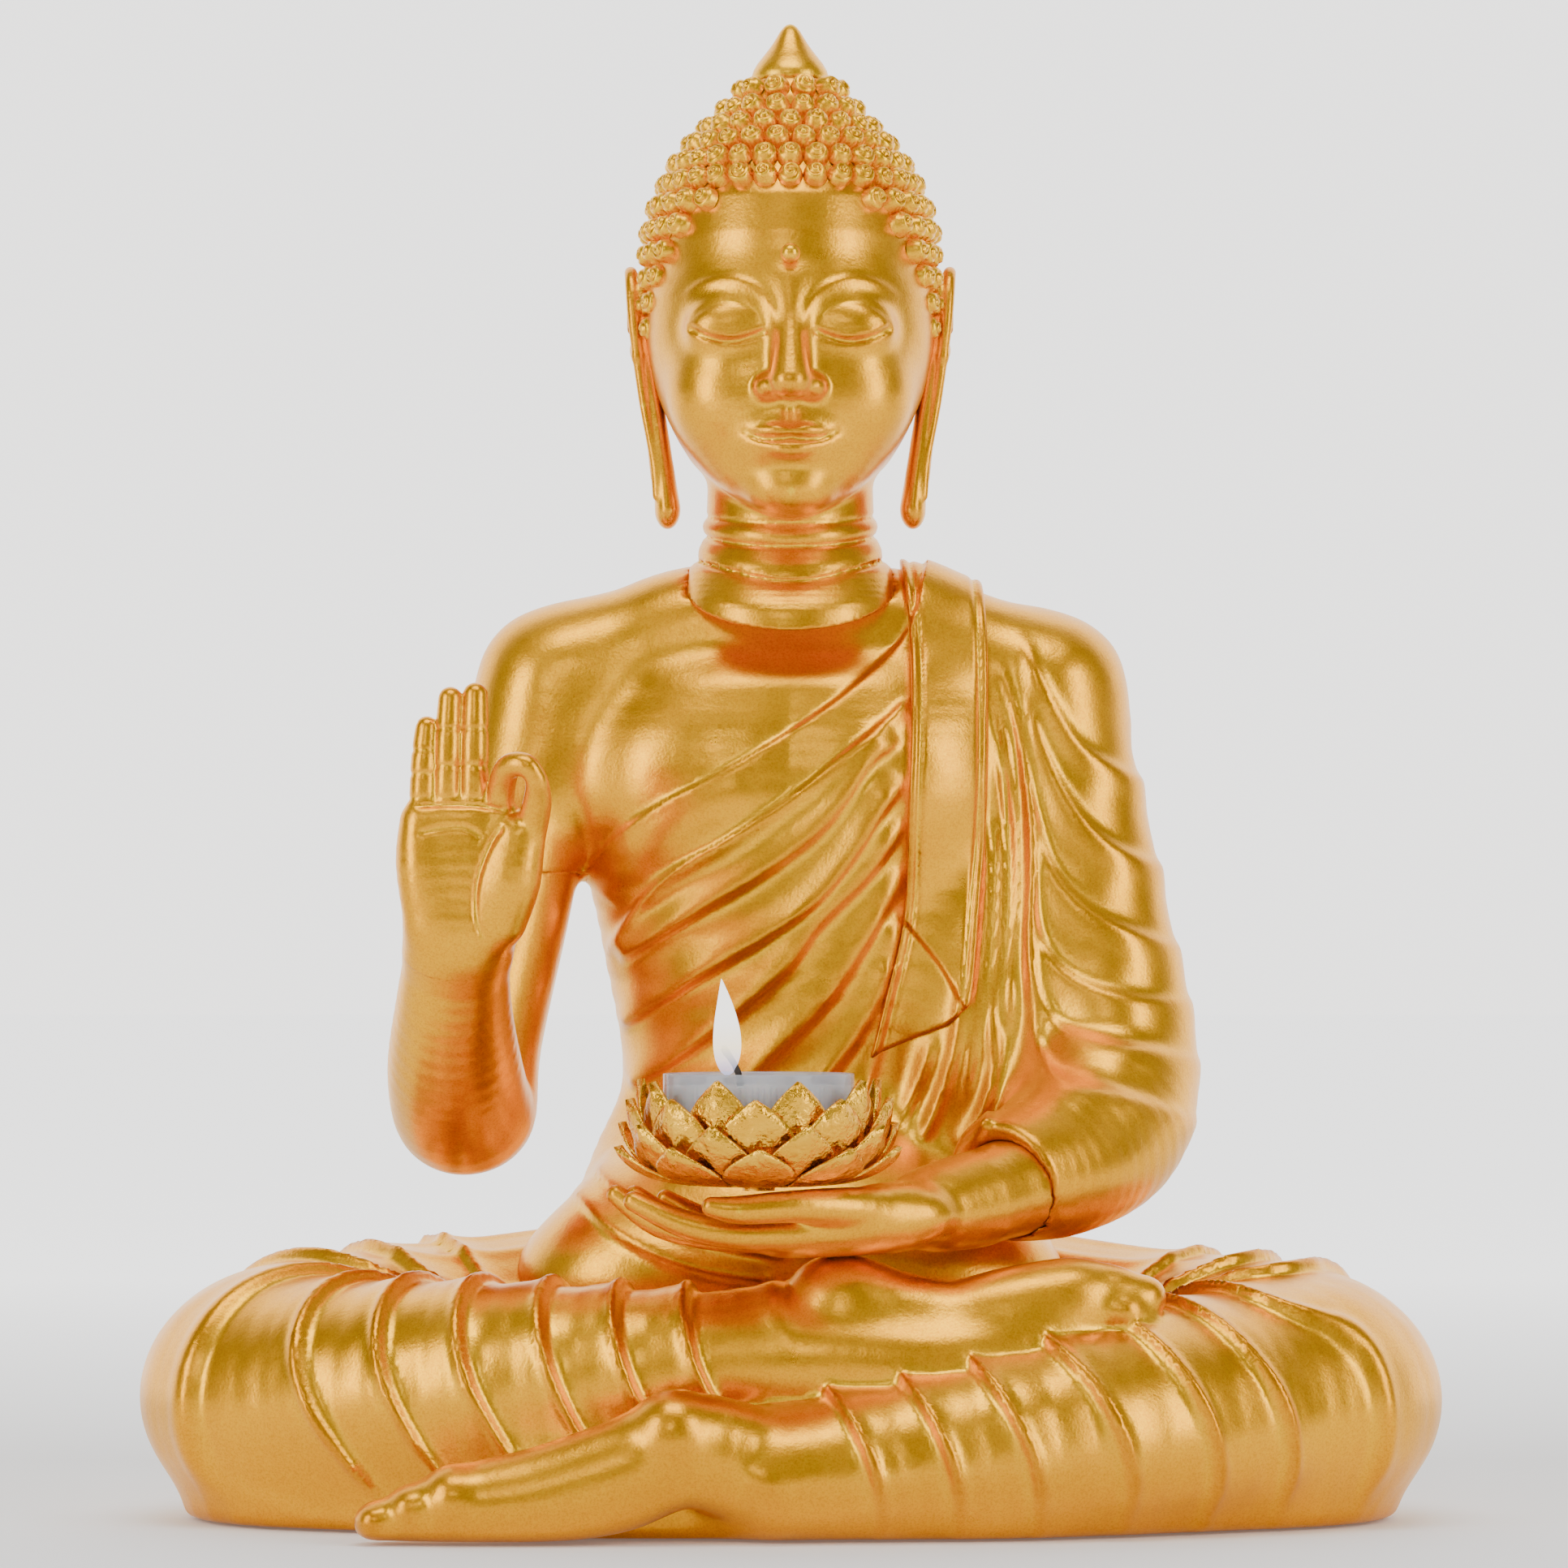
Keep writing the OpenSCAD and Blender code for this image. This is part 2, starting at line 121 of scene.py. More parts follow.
class Tube:
    """A limb: ellipsoids strung along a smooth curve. Links are (centre, radii or radius)."""

    def __init__(self, links, steps=6):
        rows = [list(c) + (list(r) if hasattr(r, "__len__") else [r, r, r]) for c, r in links]
        fine = smooth_curve(rows, steps)
        self.c, self.r = fine[:, :3], np.maximum(fine[:, 3:], 0.3)
        gaps = np.linalg.norm(np.diff(self.c, axis=0), axis=1)
        self.s = np.concatenate([[0], np.cumsum(gaps)]).astype(np.float32)

    def near(self, p):
        """The links that can matter to these points, or a plain distance when the limb is far off."""
        lo, hi = p.min(0), p.max(0)
        mid, reach = (lo + hi) / 2, 0.5 * float(np.linalg.norm(hi - lo)) * 1.35 + 0.1
        a, ab = self.c[:-1], np.diff(self.c, axis=0)
        w = ab / (0.5 * (self.r[:-1] + self.r[1:])) ** 2
        t = np.clip(((mid - a) * w).sum(1) / np.maximum((ab * w).sum(1), 1e-9), 0, 1)[:, None]
        d = ellipsoid_from(mid - a - ab * t, self.r[:-1] + (self.r[1:] - self.r[:-1]) * t)
        least = float(d.min())
        if least - reach > TUBE_FAR:
            return None, least - reach, float(self.s[int(d.argmin())])
        return np.nonzero(d < least + 2 * reach)[0], 0, 0

    def __call__(self, p, along=False):
        use, far, at = self.near(p)
        if use is None:
            d = np.full(len(p), far, np.float32)
            return (d, np.full(len(p), at, np.float32)) if along else d
        a, ab, r, dr = self.c[use], self.c[use + 1] - self.c[use], self.r[use], self.r[use + 1] - self.r[use]
        q = p[:, None, :] - a
        w = ab / (r + 0.5 * dr) ** 2
        t = np.clip(np.einsum("nsk,sk->ns", q, w) / np.maximum((ab * w).sum(1), 1e-9), 0, 1)
        q -= ab * t[:, :, None]
        r = r + dr * t[:, :, None]
        q /= r
        k0 = np.sqrt(np.einsum("nsk,nsk->ns", q, q))
        q /= r
        k1 = np.sqrt(np.einsum("nsk,nsk->ns", q, q))
        d = k0 * (k0 - 1) / np.maximum(k1, 1e-6)
        i = d.argmin(1)
        n = np.arange(len(p))
        if not along:
            return d[n, i]
        near = d[n, i]
        share = np.exp((near[:, None] - d) / 2)
        at = self.s[use] + (self.s[use + 1] - self.s[use]) * t
        return near, (share * at).sum(1) / share.sum(1)


class Line:
    """A smooth curve in the front view (x, z), for folds and edges."""

    def __init__(self, points, steps=5):
        self.p = smooth_curve(points, steps)

    def __call__(self, x, z):
        """Signed distance (positive on the left of the way it runs) and 0..1 along it."""
        n = len(self.p) - 1
        mx, mz = (x.min() + x.max()) / 2, (z.min() + z.max()) / 2
        reach = 0.5 * math.hypot(x.max() - x.min(), z.max() - z.min()) + 0.1
        a, ab = self.p[:-1], np.diff(self.p, axis=0)
        off = np.array([mx, mz], np.float32) - a
        t = np.clip((off * ab).sum(1) / np.maximum((ab * ab).sum(1), 1e-9), 0, 1)
        gap = np.linalg.norm(off - ab * t[:, None], axis=1)
        use = np.nonzero(gap < gap.min() + 2 * reach)[0]
        if gap.min() - reach > LINE_FAR:
            i = int(gap.argmin())
            sign = 1 if ab[i, 0] * off[i, 1] - ab[i, 1] * off[i, 0] >= 0 else -1
            return (np.full(len(x), sign * (gap.min() - reach), np.float32),
                    np.full(len(x), (i + t[i]) / n, np.float32))
        a, ab = a[use], ab[use]
        ex, ez = x[:, None] - a[:, 0], z[:, None] - a[:, 1]
        t = np.clip((ex * ab[:, 0] + ez * ab[:, 1]) / np.maximum((ab * ab).sum(1), 1e-9), 0, 1)
        side = ab[:, 0] * ez - ab[:, 1] * ex
        ex -= ab[:, 0] * t
        ez -= ab[:, 1] * t
        d = ex * ex + ez * ez
        i = d.argmin(1)
        m = np.arange(len(x))
        return np.sqrt(d[m, i]) * np.where(side[m, i] >= 0, 1, -1), (use[i] + t[m, i]) / n


def folds(*rows):
    """Rows are (height, soft width, sharp width, points), or whatever comes before the points."""
    return [(Line(points), *shape) for *shape, points in rows]


def relief(x, z, rows, fade_in, fade_out):
    """Draped folds: each swells slowly on the right of its line and drops off sharply on the left."""
    h = np.zeros(len(x), np.float32)
    for line, height, soft, sharp in rows:
        d, t = line(x, z)
        h = h + height * lip(-d, soft, sharp) * faded(t, fade_in + 1e-3, 0.999 - fade_out)
    return h


# ---------------------------------------------------------------- meshing

def mesh_field(name, field, lo, hi, voxel, crisp=2):
    """Meshes the zero surface of field(points) inside the box lo..hi, in millimetres."""
    voxel = voxel * rough
    lo, hi = np.array(lo, float) - 3 * voxel, np.array(hi, float) + 3 * voxel
    block = 5
    nb = np.ceil((hi - lo) / (voxel * block)).astype(int)
    shape = nb * block
    idx = np.stack(np.meshgrid(*[np.arange(n) for n in nb], indexing="ij"), -1).reshape(-1, 3)
    mid = (lo + (idx * block + (block - 1) / 2) * voxel).astype(np.float32)
    rough_d = evaluate(field, mid, 60 * voxel)
    reach = block * voxel * 0.87 * 1.35 + 2.2
    near = np.abs(rough_d) < reach
    grid = np.where(rough_d > 0, FIELD_FAR, -FIELD_FAR).reshape(nb).astype(np.float32)
    for axis in range(3):
        grid = np.repeat(grid, block, axis)
    cell = np.stack(np.meshgrid(*[np.arange(block)] * 3, indexing="ij"), -1).reshape(-1, 3)
    where = (idx[near][:, None, :] * block + cell[None]).reshape(-1, 3)
    pts = (lo + where * voxel).astype(np.float32)
    grid[where[:, 0], where[:, 1], where[:, 2]] = evaluate(field, pts, 20 * voxel)
    edge = np.ones(shape, bool)
    edge[1:-1, 1:-1, 1:-1] = False
    grid[edge] = np.maximum(grid[edge], voxel)
    g = openvdb.FloatGrid(FIELD_FAR)
    g.copyFromArray(grid)
    verts, quads = g.convertToQuads(isovalue=0.0)
    verts = (lo + verts * voxel).astype(np.float32)
    h = 0.35 * voxel
    tetra = arr([1, 1, 1], [1, -1, -1], [-1, 1, -1], [-1, -1, 1])
    for _ in range(crisp):
        vals = evaluate(field, verts, 32 * voxel, h * tetra)
        grad = sum(v[:, None] * k for v, k in zip(vals, tetra)) / (4 * h)
        here = sum(vals) / 4
        norm = np.maximum((grad ** 2).sum(1), 0.2)
        step = grad * (here / norm)[:, None]
        size = length(step)
        step *= np.minimum(1, 0.6 * voxel / np.maximum(size, 1e-9))[:, None]
        verts -= step
    me = bpy.data.meshes.new(name)
    n, m = len(verts), len(quads)
    me.vertices.add(n)
    me.vertices.foreach_set("co", (verts * MM).astype(np.float32).ravel())
    me.loops.add(4 * m)
    me.loops.foreach_set("vertex_index", quads[:, ::-1].astype(np.int32).ravel())
    me.polygons.add(m)
    me.polygons.foreach_set("loop_start", np.arange(0, 4 * m, 4, dtype=np.int32))
    me.update(calc_edges=True)
    me.polygons.foreach_set("use_smooth", np.ones(m, bool))
    me.update()
    obj = bpy.data.objects.new(name, me)
    bpy.context.collection.objects.link(obj)
    return obj


def evaluate(field, pts, cell, offsets=None):
    """Evaluates a field cell by cell, so that a limb is only worked out near itself.

    With offsets, it gives one row of values for each, all of a point's in the same cell.
    """
    key = np.floor(pts / cell).astype(np.int64)
    key = (key[:, 0] * 4096 + key[:, 1]) * 4096 + key[:, 2]
    order = np.argsort(key, kind="stable")
    cuts = np.nonzero(np.diff(key[order]))[0] + 1
    shifts = np.zeros((1, 3), np.float32) if offsets is None else offsets
    out = np.empty((len(shifts), len(pts)), np.float32)

    def work(group):
        out[:, group] = field((pts[group] + shifts[:, None]).reshape(-1, 3)).reshape(len(shifts), -1)

    most = 12000 // len(shifts)
    groups = np.split(order, cuts)
    list(workers.map(work, [g[i:i + most] for g in groups for i in range(0, len(g), most)]))
    return out[0] if offsets is None else out


def mesh_from(name, verts, faces, smooth=True):
    me = bpy.data.meshes.new(name)
    me.from_pydata([tuple(v) for v in (np.array(verts, float) * MM)], [], faces)
    me.update()
    if smooth:
        me.polygons.foreach_set("use_smooth", np.ones(len(me.polygons), bool))
    obj = bpy.data.objects.new(name, me)
    bpy.context.collection.objects.link(obj)
    return obj


def turned(profile, centre, steps, closed=False):
    """Points and faces of (r, z) points turned round a vertical axis at centre (x, y)."""
    verts, faces = [], []
    n = len(profile)
    for i in range(steps):
        a = 2 * math.pi * i / steps
        for r, z in profile:
            verts.append((centre[0] + r * math.cos(a), centre[1] + r * math.sin(a), z))
    last = n if closed else n - 1
    for i in range(steps):
        for j in range(last):
            p, q = i * n + j, ((i + 1) % steps) * n + j
            p2, q2 = i * n + (j + 1) % n, ((i + 1) % steps) * n + (j + 1) % n
            faces.append((p, q, q2, p2))
    return verts, faces


def lathe(name, profile, centre, steps):
    return mesh_from(name, *turned(profile, centre, steps))


# ---------------------------------------------------------------- skeleton

right_leg = Tube([
    ((-36, 28, 32), (28, 32, 27)),
    ((-72, 14, 29), (28, 31, 26)),
    ((-101, -10, 25.5), (31.5, 34, 26.5)),
    ((-88, -32, 25.5), (26, 26, 24)),
    ((-60, -46, 28), (22, 21, 21.5)),
    ((-30, -53, 31), (18, 16, 17.5)),
    ((-4, -56, 34), (15, 13, 14)),
])
left_leg = Tube([
    ((36, 28, 32), (28, 32, 27)),
    ((72, 14, 28), (28, 31, 26)),
    ((101.5, -12, 25), (31, 35, 26.5)),
    ((88, -34, 23), (27, 28, 24.5)),
    ((58, -54, 20), (23, 24, 22)),
    ((24, -64, 15.5), (19, 19, 17)),
    ((-2, -70, 12.5), (16, 15, 13.5)),
])
spine = Tube([
    ((0, 26, 50), (49, 33, 22)),
    ((0, 25, 70), (41, 29, 18)),
    ((0, 25, 90), (34, 27, 16)),
    ((0, 22, 120), (38.5, 29, 20)),
    ((0, 20, 148), (44, 29, 20)),
    ((0, 19, 168), (41, 25, 14)),
])
trapezius = Tube([
    ((-49, 20, 171.5), (13.5, 14.5, 13.5)),
    ((-33, 19, 178.6), (13, 15, 13.5)),
    ((-20, 18, 183.6), (13, 15, 13)),
    ((0, 18, 185), (14, 16, 13)),
    ((20, 18, 183.4), (13, 15, 13)),
    ((33, 19, 178.2), (13, 15, 13.5)),
    ((53, 20, 170), (15, 16, 14.5)),
])
right_arm_tube = Tube([
    ((-49, 20, 171.5), (13.5, 14.5, 13.5)),
    ((-55, 15, 150), (14, 15.5, 15)),
    ((-60, 11, 124), (13.8, 15, 15)),
    ((-65, 4, 98), (13.5, 14.5, 14)),
    ((-67, -4, 83.5), (14.5, 14.5, 13.5)),
    ((-68.5, -20, 92), (13.8, 13.5, 13.5)),
    ((-68, -36, 106), (11.6, 11.2, 11.5)),
    ((-66.5, -47, 119), (10.2, 9, 9.5)),
])
left_arm_tube = Tube([
    ((53, 20, 170), (15, 16, 14.5)),
    ((57, 17, 148), (16.5, 17, 16)),
    ((61, 13, 122), (18, 17.5, 17)),
    ((65.5, 7, 95), (19, 19, 18)),
    ((63, -8, 80), (19, 18, 17)),
    ((54, -24, 73), (17, 16, 15)),
    ((44, -36, 70), (14, 13, 12.4)),
])
left_forearm_tube = Tube([
    ((58, -16, 75), (12, 12, 11)),
    ((46, -36, 69), (11.4, 10.8, 10)),
    ((30, -50, 65), (9.8, 9.4, 8.6)),
])

# Lines of the robe, in the front view
neckline = Line([(27, 192), (25, 184.5), (21, 178.5), (10, 168.5), (-1, 161), (-14.5, 153), (-28, 146),
                 (-37, 139.5), (-43, 133), (-52, 122)])
band_edge = Line([(25.5, 169), (17, 161), (10, 155.5), (2, 149), (-12, 139.5), (-23.5, 133),
                  (-31, 126.5), (-38, 117)])
chest_folds = folds(
    (2.1, 4.6, 1.1, [(23, 160), (16.5, 155.5), (10, 146), (4, 139.5), (-7, 131.5), (-20, 124), (-36, 114)]),
    (2.3, 5.0, 1.0, [(24, 152), (18, 144), (13, 136), (4.5, 126), (-7, 118), (-20, 110.5), (-36, 100)]),
    (2.3, 5.0, 1.0, [(24, 144), (16.5, 132.5), (5.5, 121.5), (-1, 112.5), (-12.5, 102.5), (-24, 94),
                     (-34, 88)]),
    (2.3, 4.6, 1.0, [(24, 134), (18, 122.5), (13, 114), (7.5, 106), (-1, 97), (-10, 89), (-22, 82)]),
    (2.0, 3.8, 1.0, [(23, 124), (20, 112), (16, 102), (9, 92), (0, 84)]),
    (1.4, 2.8, 1.1, [(22, 114), (20, 104), (17, 92), (14, 82)]),
    (1.5, 3.4, 1.2, [(1, 54.5), (-15.5, 57), (-30.4, 63.6), (-40.3, 71.9)]),
    (1.5, 3.4, 1.2, [(-2.3, 48.8), (-20.5, 52), (-35.4, 58.7), (-44.5, 66.9)]),
    (0.5, 5.0, 3.0, [(-8, 150), (-22, 142), (-33, 134), (-39, 127)]),
)
sleeve_folds = folds(
    (1.5, 4.2, 1.5, [(44, 186), (49, 178), (54.5, 166), (61, 157.5), (72, 152), (80, 151)]),
    (1.8, 5.0, 1.5, [(45, 177), (50.5, 162), (56.5, 148.5), (64.5, 139), (75, 134), (84, 133)]),
    (1.9, 5.4, 1.5, [(47, 160), (50.5, 143), (54.5, 131.5), (63.5, 123), (77, 117.5), (86, 116)]),
    (1.8, 5.0, 1.5, [(48.5, 146), (49.5, 127), (52, 116.5), (59, 109.5), (71, 106), (86, 105)]),
    (1.7, 4.6, 1.5, [(49.5, 128), (50, 112), (54, 101.5), (64, 97), (76, 95), (88, 92)]),
    (1.5, 4.2, 1.4, [(50, 112), (50.5, 98), (55, 90), (66, 87), (78, 83), (88, 79)]),
)
pleats = folds(
    (1.3, 1.5, 1.1, [(42.5, 178), (46.5, 166), (49, 150), (50, 134), (49, 118), (50, 104)]),
    (1.2, 1.5, 1.1, [(42, 172), (44.6, 160), (46.6, 144), (46.8, 128), (45.6, 112), (45.5, 98)]),
    (1.1, 1.4, 1.0, [(41.6, 164), (43, 150), (43.8, 134), (43.2, 118), (41.8, 104), (41, 92)]),
    (1.0, 1.4, 1.0, [(40.8, 152), (41, 138), (40.6, 124), (39.4, 110), (37.6, 96), (36, 84)]),
    (1.3, 2.0, 1.2, [(36, 112), (35, 100), (32, 88), (27, 76)]),
    (1.4, 2.6, 1.3, [(30, 100), (27, 90), (22, 80), (16, 72)]),
    (1.3, 2.0, 1.2, [(43, 104), (42.5, 94), (40, 84), (35, 75)]),
)
shawl_left = Line([(22.5, 200), (24.4, 186), (25, 168), (24.3, 145), (23.4, 123), (19, 104), (16.5, 94)])
shawl_right = Line([(39, 200), (40.4, 190), (41, 170), (40.6, 145), (39, 124), (37.2, 104), (35.8, 98)])
shawl_crease = Line([(23.4, 122.5), (28, 117), (31.4, 112.5), (34.5, 107), (36.5, 103.6)])


# ---------------------------------------------------------------- robe and torso

def torso_skin(p):
    """The body under the robe, with the trapezius, the chest and the belly."""
    d = smin(spine(p), trapezius(p), 9)
    q = both_sides(p)
    d = smin(d, ellipsoid(q, (19, 5.5, 153), (20, 12, 15)), 14)
    d = smin(d, ellipsoid(p, (-2, 2, 52), (45, 27, 27)), 12)
    d = smin(d, ellipsoid(q, (32, 5, 48), (24, 24, 14)), 10)
    return d


def cloth_side(p):
    """Positive where the robe covers the torso: below and left of the neckline."""
    return neckline(p[:, 0], p[:, 2])[0]


def torso_folds(p):
    x, z = p[:, 0], p[:, 2]
    front = 1 - ramp(p[:, 1], 8, 24)
    back = ramp(p[:, 1], 24, 40)
    d, t = band_edge(x, z)
    h = relief(x, z, chest_folds, 0.12, 0.02) + 1.3 * lip(d, 2.4, 0.6) * ramp(t, 0, 0.05)
    inside = 1 - ramp(x, 22, 26)
    h = h * inside * (np.abs(x) < 52)
    back_folds = 0.9 * bump(((x * 0.8 + z * 0.6) % 17) - 8.5, 3.2) * ramp(z, 66, 90)
    return h * front + back_folds * back * inside


def sleeve_relief(p):
    x, z = p[:, 0], p[:, 2]
    on_arm = 0.85 * ramp(x, 46, 51) * (1 - 0.55 * ramp(x, 68, 84))
    return relief(x, z, sleeve_folds, 0.22, 0) * on_arm + relief(x, z, pleats, 0.25, 0.15)


def draped(p):
    """Torso with robe and the left sleeve, before it is cut into castings."""
    skin = torso_skin(p)
    side = cloth_side(p)
    robe = skin - 1.2 * ramp(side, -0.25, 0.35) - torso_folds(p) * ramp(side, 1, 4)
    arm = smax(left_arm_tube(p), cuff_plane(p), 2.0)
    web = ellipsoid(p, (42, 10, 100), (22, 15, 42))
    body = smin(robe, web, 9)
    body = smin(body, arm, 8)
    front = 1 - ramp(p[:, 1], 12, 30)
    body = body - sleeve_relief(p) * front * ramp(p[:, 0], 18, 30)
    return body - 0.8 * (1 - front) * arm_back_folds(p)


def arm_back_folds(p):
    return bump(((p[:, 2] + 0.55 * p[:, 0]) % 15) - 7.5, 3.0) * ramp(p[:, 0], 44, 52)


neck_skin = Tube([
    ((0, 17, 216), (17.2, 17, 8)),
    ((0, 16, 203), (17.8, 18, 8)),
    ((0, 15.5, 197), (19.4, 18.6, 7)),
    ((0, 15, 192), (22.6, 20.6, 6)),
    ((0, 14, 187), (25, 22.4, 5)),
    ((0, 13, 182), (26, 23, 5)),
], 4)


def neck_level(p):
    """Height along the neck's rolled rings, which dip at the front."""
    slope = np.interp(p[:, 2], [194.8, 197.8, 202.7, 210], [0.52, 0.3, 0.2, 0.12]).astype(np.float32)
    return p[:, 2] - slope * (p[:, 1] + 8)


def neck_rings(p):
    w = neck_level(p)
    cut = 0
    for level, depth in ((203.4, 0.5), (198.2, 0.9), (190.9, 1.0)):
        cut = cut + depth * bump(w - level, 0.5)
    roll = 0.7 * (bump(w - 194.6, 2.6) + bump(w - 187.0, 2.8) + bump(w - 200.9, 1.6))
    return roll - cut


def upper_body(p):
    """Torso, robe, sleeve and the bare right arm as one skin."""
    d = draped(p)
    arm = right_arm_tube(p)
    k = 4 + 9 * ramp(p[:, 2], 122, 150)
    return smin(d, arm, k)


# Heights of the castings' seams, and how far the pieces run into each other there
ARM_SEAM, TORSO_FOOT, LAP_FOOT, REBATE_TOP = 132.4, 40.0, 0.5, 4.6
ARM_OVERLAP, WRIST_OVERLAP = 0.5, 1.0


def neck_plane(p):
    return neck_level(p) - 182.8


# ---------------------------------------------------------------- lap

right_foot_top = Tube([
    ((6, -55, 43), (8, 9, 10.4)),
    ((10.5, -57, 44.4), (10, 10, 11)),
    ((20, -57, 42.5), (9.4, 9, 9.6)),
    ((32, -57, 40.5), (9.4, 8.6, 9.4)),
    ((44, -57, 43.4), (9.4, 8.6, 9.2)),
    ((55, -56, 46.2), (7.4, 8, 8.2)),
    ((62, -55, 47.4), (4.8, 6.4, 6)),
])
right_foot_side = Tube([
    ((-12, -56, 34), (14, 13, 13)),
    ((8, -59, 34.5), (13, 12, 12)),
    ((28, -60, 34.5), (12, 10.5, 9.4)),
    ((46, -58, 38.5), (9, 9, 7)),
    ((58, -55, 42.5), (6, 7, 5)),
])
right_toes = [((65.4, -55.4, 48.4), (4.6, 5, 4.0)), ((70.4, -54.6, 47.2), (3.8, 4.6, 3.6)),
              ((66, -58.4, 44.8), (4.4, 4.2, 3.2)), ((69.5, -56.5, 42.6), (3.4, 3.6, 2.6))]
left_foot_tube = Tube([
    ((-6, -73, 14), (13, 12, 12)),
    ((-20, -79, 18.4), (9.6, 9.6, 11.4)),
    ((-34, -80, 13.4), (10, 9, 11)),
    ((-48, -80, 9.5), (10.4, 9, 10)),
    ((-62, -80, 7.6), (9, 8.5, 8.4)),
    ((-72, -79.5, 5.8), (6.6, 7, 6.4)),
    ((-80, -79, 4.0), (5, 5.6, 4.2)),
])
left_foot_balls = [((-23, -81.6, 21.6), (8.4, 8.6, 9)), ((-66, -82, 9.4), (6.2, 7, 6.4)),
                   ((-74.4, -82, 7.2), (4.4, 5.4, 4.4)), ((-81.4, -81.4, 4.8), (3.8, 5, 3.6))]
lap_tube = Tube([((-38, 8, 26), (30, 46, 24)), ((0, 6, 26), (30, 44, 24)), ((38, 8, 26), (30, 46, 24))], 3)
seat_tube = Tube([((-30, 34, 27), (34, 35, 27)), ((0, 34, 27), (34, 33, 27)),
                  ((30, 34, 27), (34, 35, 27))], 3)


def lap_band(s, start, pitch, shrink, n, height):
    """Overlapping bands of cloth round a shin, closer together towards the ankle."""
    h = np.zeros(len(s), np.float32)
    at = start
    for _ in range(n):
        d = s - at
        h = h + height * (0.75 * lip(-d, 0.5 * pitch, 0.7) + 0.45 * bump(d + 0.7, 1.0))
        at += pitch
        pitch *= shrink
    return h


def lap_skin(p):
    r, rs = right_leg(p, along=True)
    l, ls = left_leg(p, along=True)
    x, y, z = p[:, 0], p[:, 1], p[:, 2]
    up = 0.35 + 0.65 * ramp(z, 2, 14)
    inner = 1 - ramp(np.abs(x), 92, 120)
    rs = rs + 0.55 * inner * smin(z - 32, np.float32(0), 22)
    ls = ls - 0.45 * inner * smax(z - 22, np.float32(0), 22)
    r = r - lap_band(rs, 38, 17, 0.975, 11, 2.3) * ramp(rs, 26, 42) * (1 - ramp(rs, 196, 204)) * up
    l = l - lap_band(ls, 38, 18, 0.98, 12, 2.3) * ramp(ls, 26, 42) * (1 - ramp(ls, 214, 222)) * up
    d = smin(lap_tube(p), seat_tube(p), 10)
    out = np.abs(x)
    thigh_top = ramp(out, 30, 46) * (1 - ramp(out, 70, 96)) * ramp(y, -30, -12) * ramp(z, 34, 48)
    long_folds = 0.7 * bump(((out * 0.42 + y) % 12) - 6, 2.0) * thigh_top
    d = smin(d, smin(r - long_folds, l - long_folds, 0.7), 4)
    sole = smax(outline(p, sole_planes, 36), z - 20, 12)
    d = smin(d, sole, 7)
    foot = smin(right_foot_top(p), right_foot_side(p), 2.5)
    for ball, size in right_toes:
        foot = smin(foot, ellipsoid(p, ball, size), 1.8)
    d = smin(d, foot - 0.8, 0.8)
    toes = left_foot_tube(p)
    for ball, size in left_foot_balls:
        toes = smin(toes, ellipsoid(p, ball, size), 2.2)
    return smin(d, toes, 0.9)


base_circles = [(82, -12, 20), (28, 27, 24), (36, -38, 20)]


def base_ring(circles, grow):
    """Outline of the base as a convex polygon, the same shape as the plate's."""
    pts = []
    for side in (-1, 1):
        for x, y, r in circles:
            for k in range(32):
                a = 2 * math.pi * k / 32
                pts.append((side * x + (r + grow) * math.cos(a), y + (r + grow) * math.sin(a)))
    pts = sorted(set((round(a, 5), round(b, 5)) for a, b in pts))

    def half(points):
        out = []
        for q in points:
            while len(out) > 1 and ((out[-1][0] - out[-2][0]) * (q[1] - out[-2][1])
                                    - (out[-1][1] - out[-2][1]) * (q[0] - out[-2][0])) <= 0:
                out.pop()
            out.append(q)
        return out[:-1]

    return half(pts) + half(pts[::-1])


def edge_planes(circles, grow):
    ring = base_ring(circles, grow)
    rows = []
    for (ax, ay), (bx, by) in zip(ring, ring[1:] + ring[:1]):
        n = math.hypot(bx - ax, by - ay)
        if n > 1e-4:
            nx, ny = (by - ay) / n, -(bx - ax) / n
            rows.append((nx, ny, -(ax * nx + ay * ny)))
    return np.array(rows, np.float32)


sole_planes = edge_planes([(84, -12, 40), (36, -40, 34), (28, 24, 42)], 0)
rebate_planes = edge_planes(base_circles, 0.15)


def outline(p, planes, top):
    """Distance to a prism with the base's outline, worked out only below a height."""
    d = np.full(len(p), 30, np.float32)
    low = p[:, 2] < top
    if low.any():
        d[low] = (p[low, :2] @ planes[:, :2].T + planes[:, 2]).max(1)
    return d


def lap_field(p):
    d = lap_skin(p)
    d = smax(d, LAP_FOOT - p[:, 2], 2.5)
    rebate = np.maximum(outline(p, rebate_planes, 9), p[:, 2] - REBATE_TOP)
    return np.maximum(d, -rebate)


# ---------------------------------------------------------------- torso pieces

def arm_share(p):
    """Negative where the skin belongs to the separately cast right arm."""
    return np.maximum(p[:, 2] - ARM_SEAM, 0.5 * (right_arm_tube(p) - torso_skin(p)))


def low_part(field, p, top):
    """A field that only matters below a height."""
    out = np.full(len(p), 50, np.float32)
    low = p[:, 2] < top
    if low.any():
        out[low] = field(p[low])
    return out


def torso_field(p):
    d = upper_body(p)
    d = np.maximum(d, -(arm_share(p) + ARM_OVERLAP))
    d = np.maximum(d, -np.maximum(neck_skin(p), -neck_plane(p)))
    d = np.maximum(d, TORSO_FOOT - p[:, 2])
    d = np.maximum(d, -low_part(lap_skin, p, 68.0))
    return smax(d, -low_part(left_hand_skin, p, 80.0), 0.4)


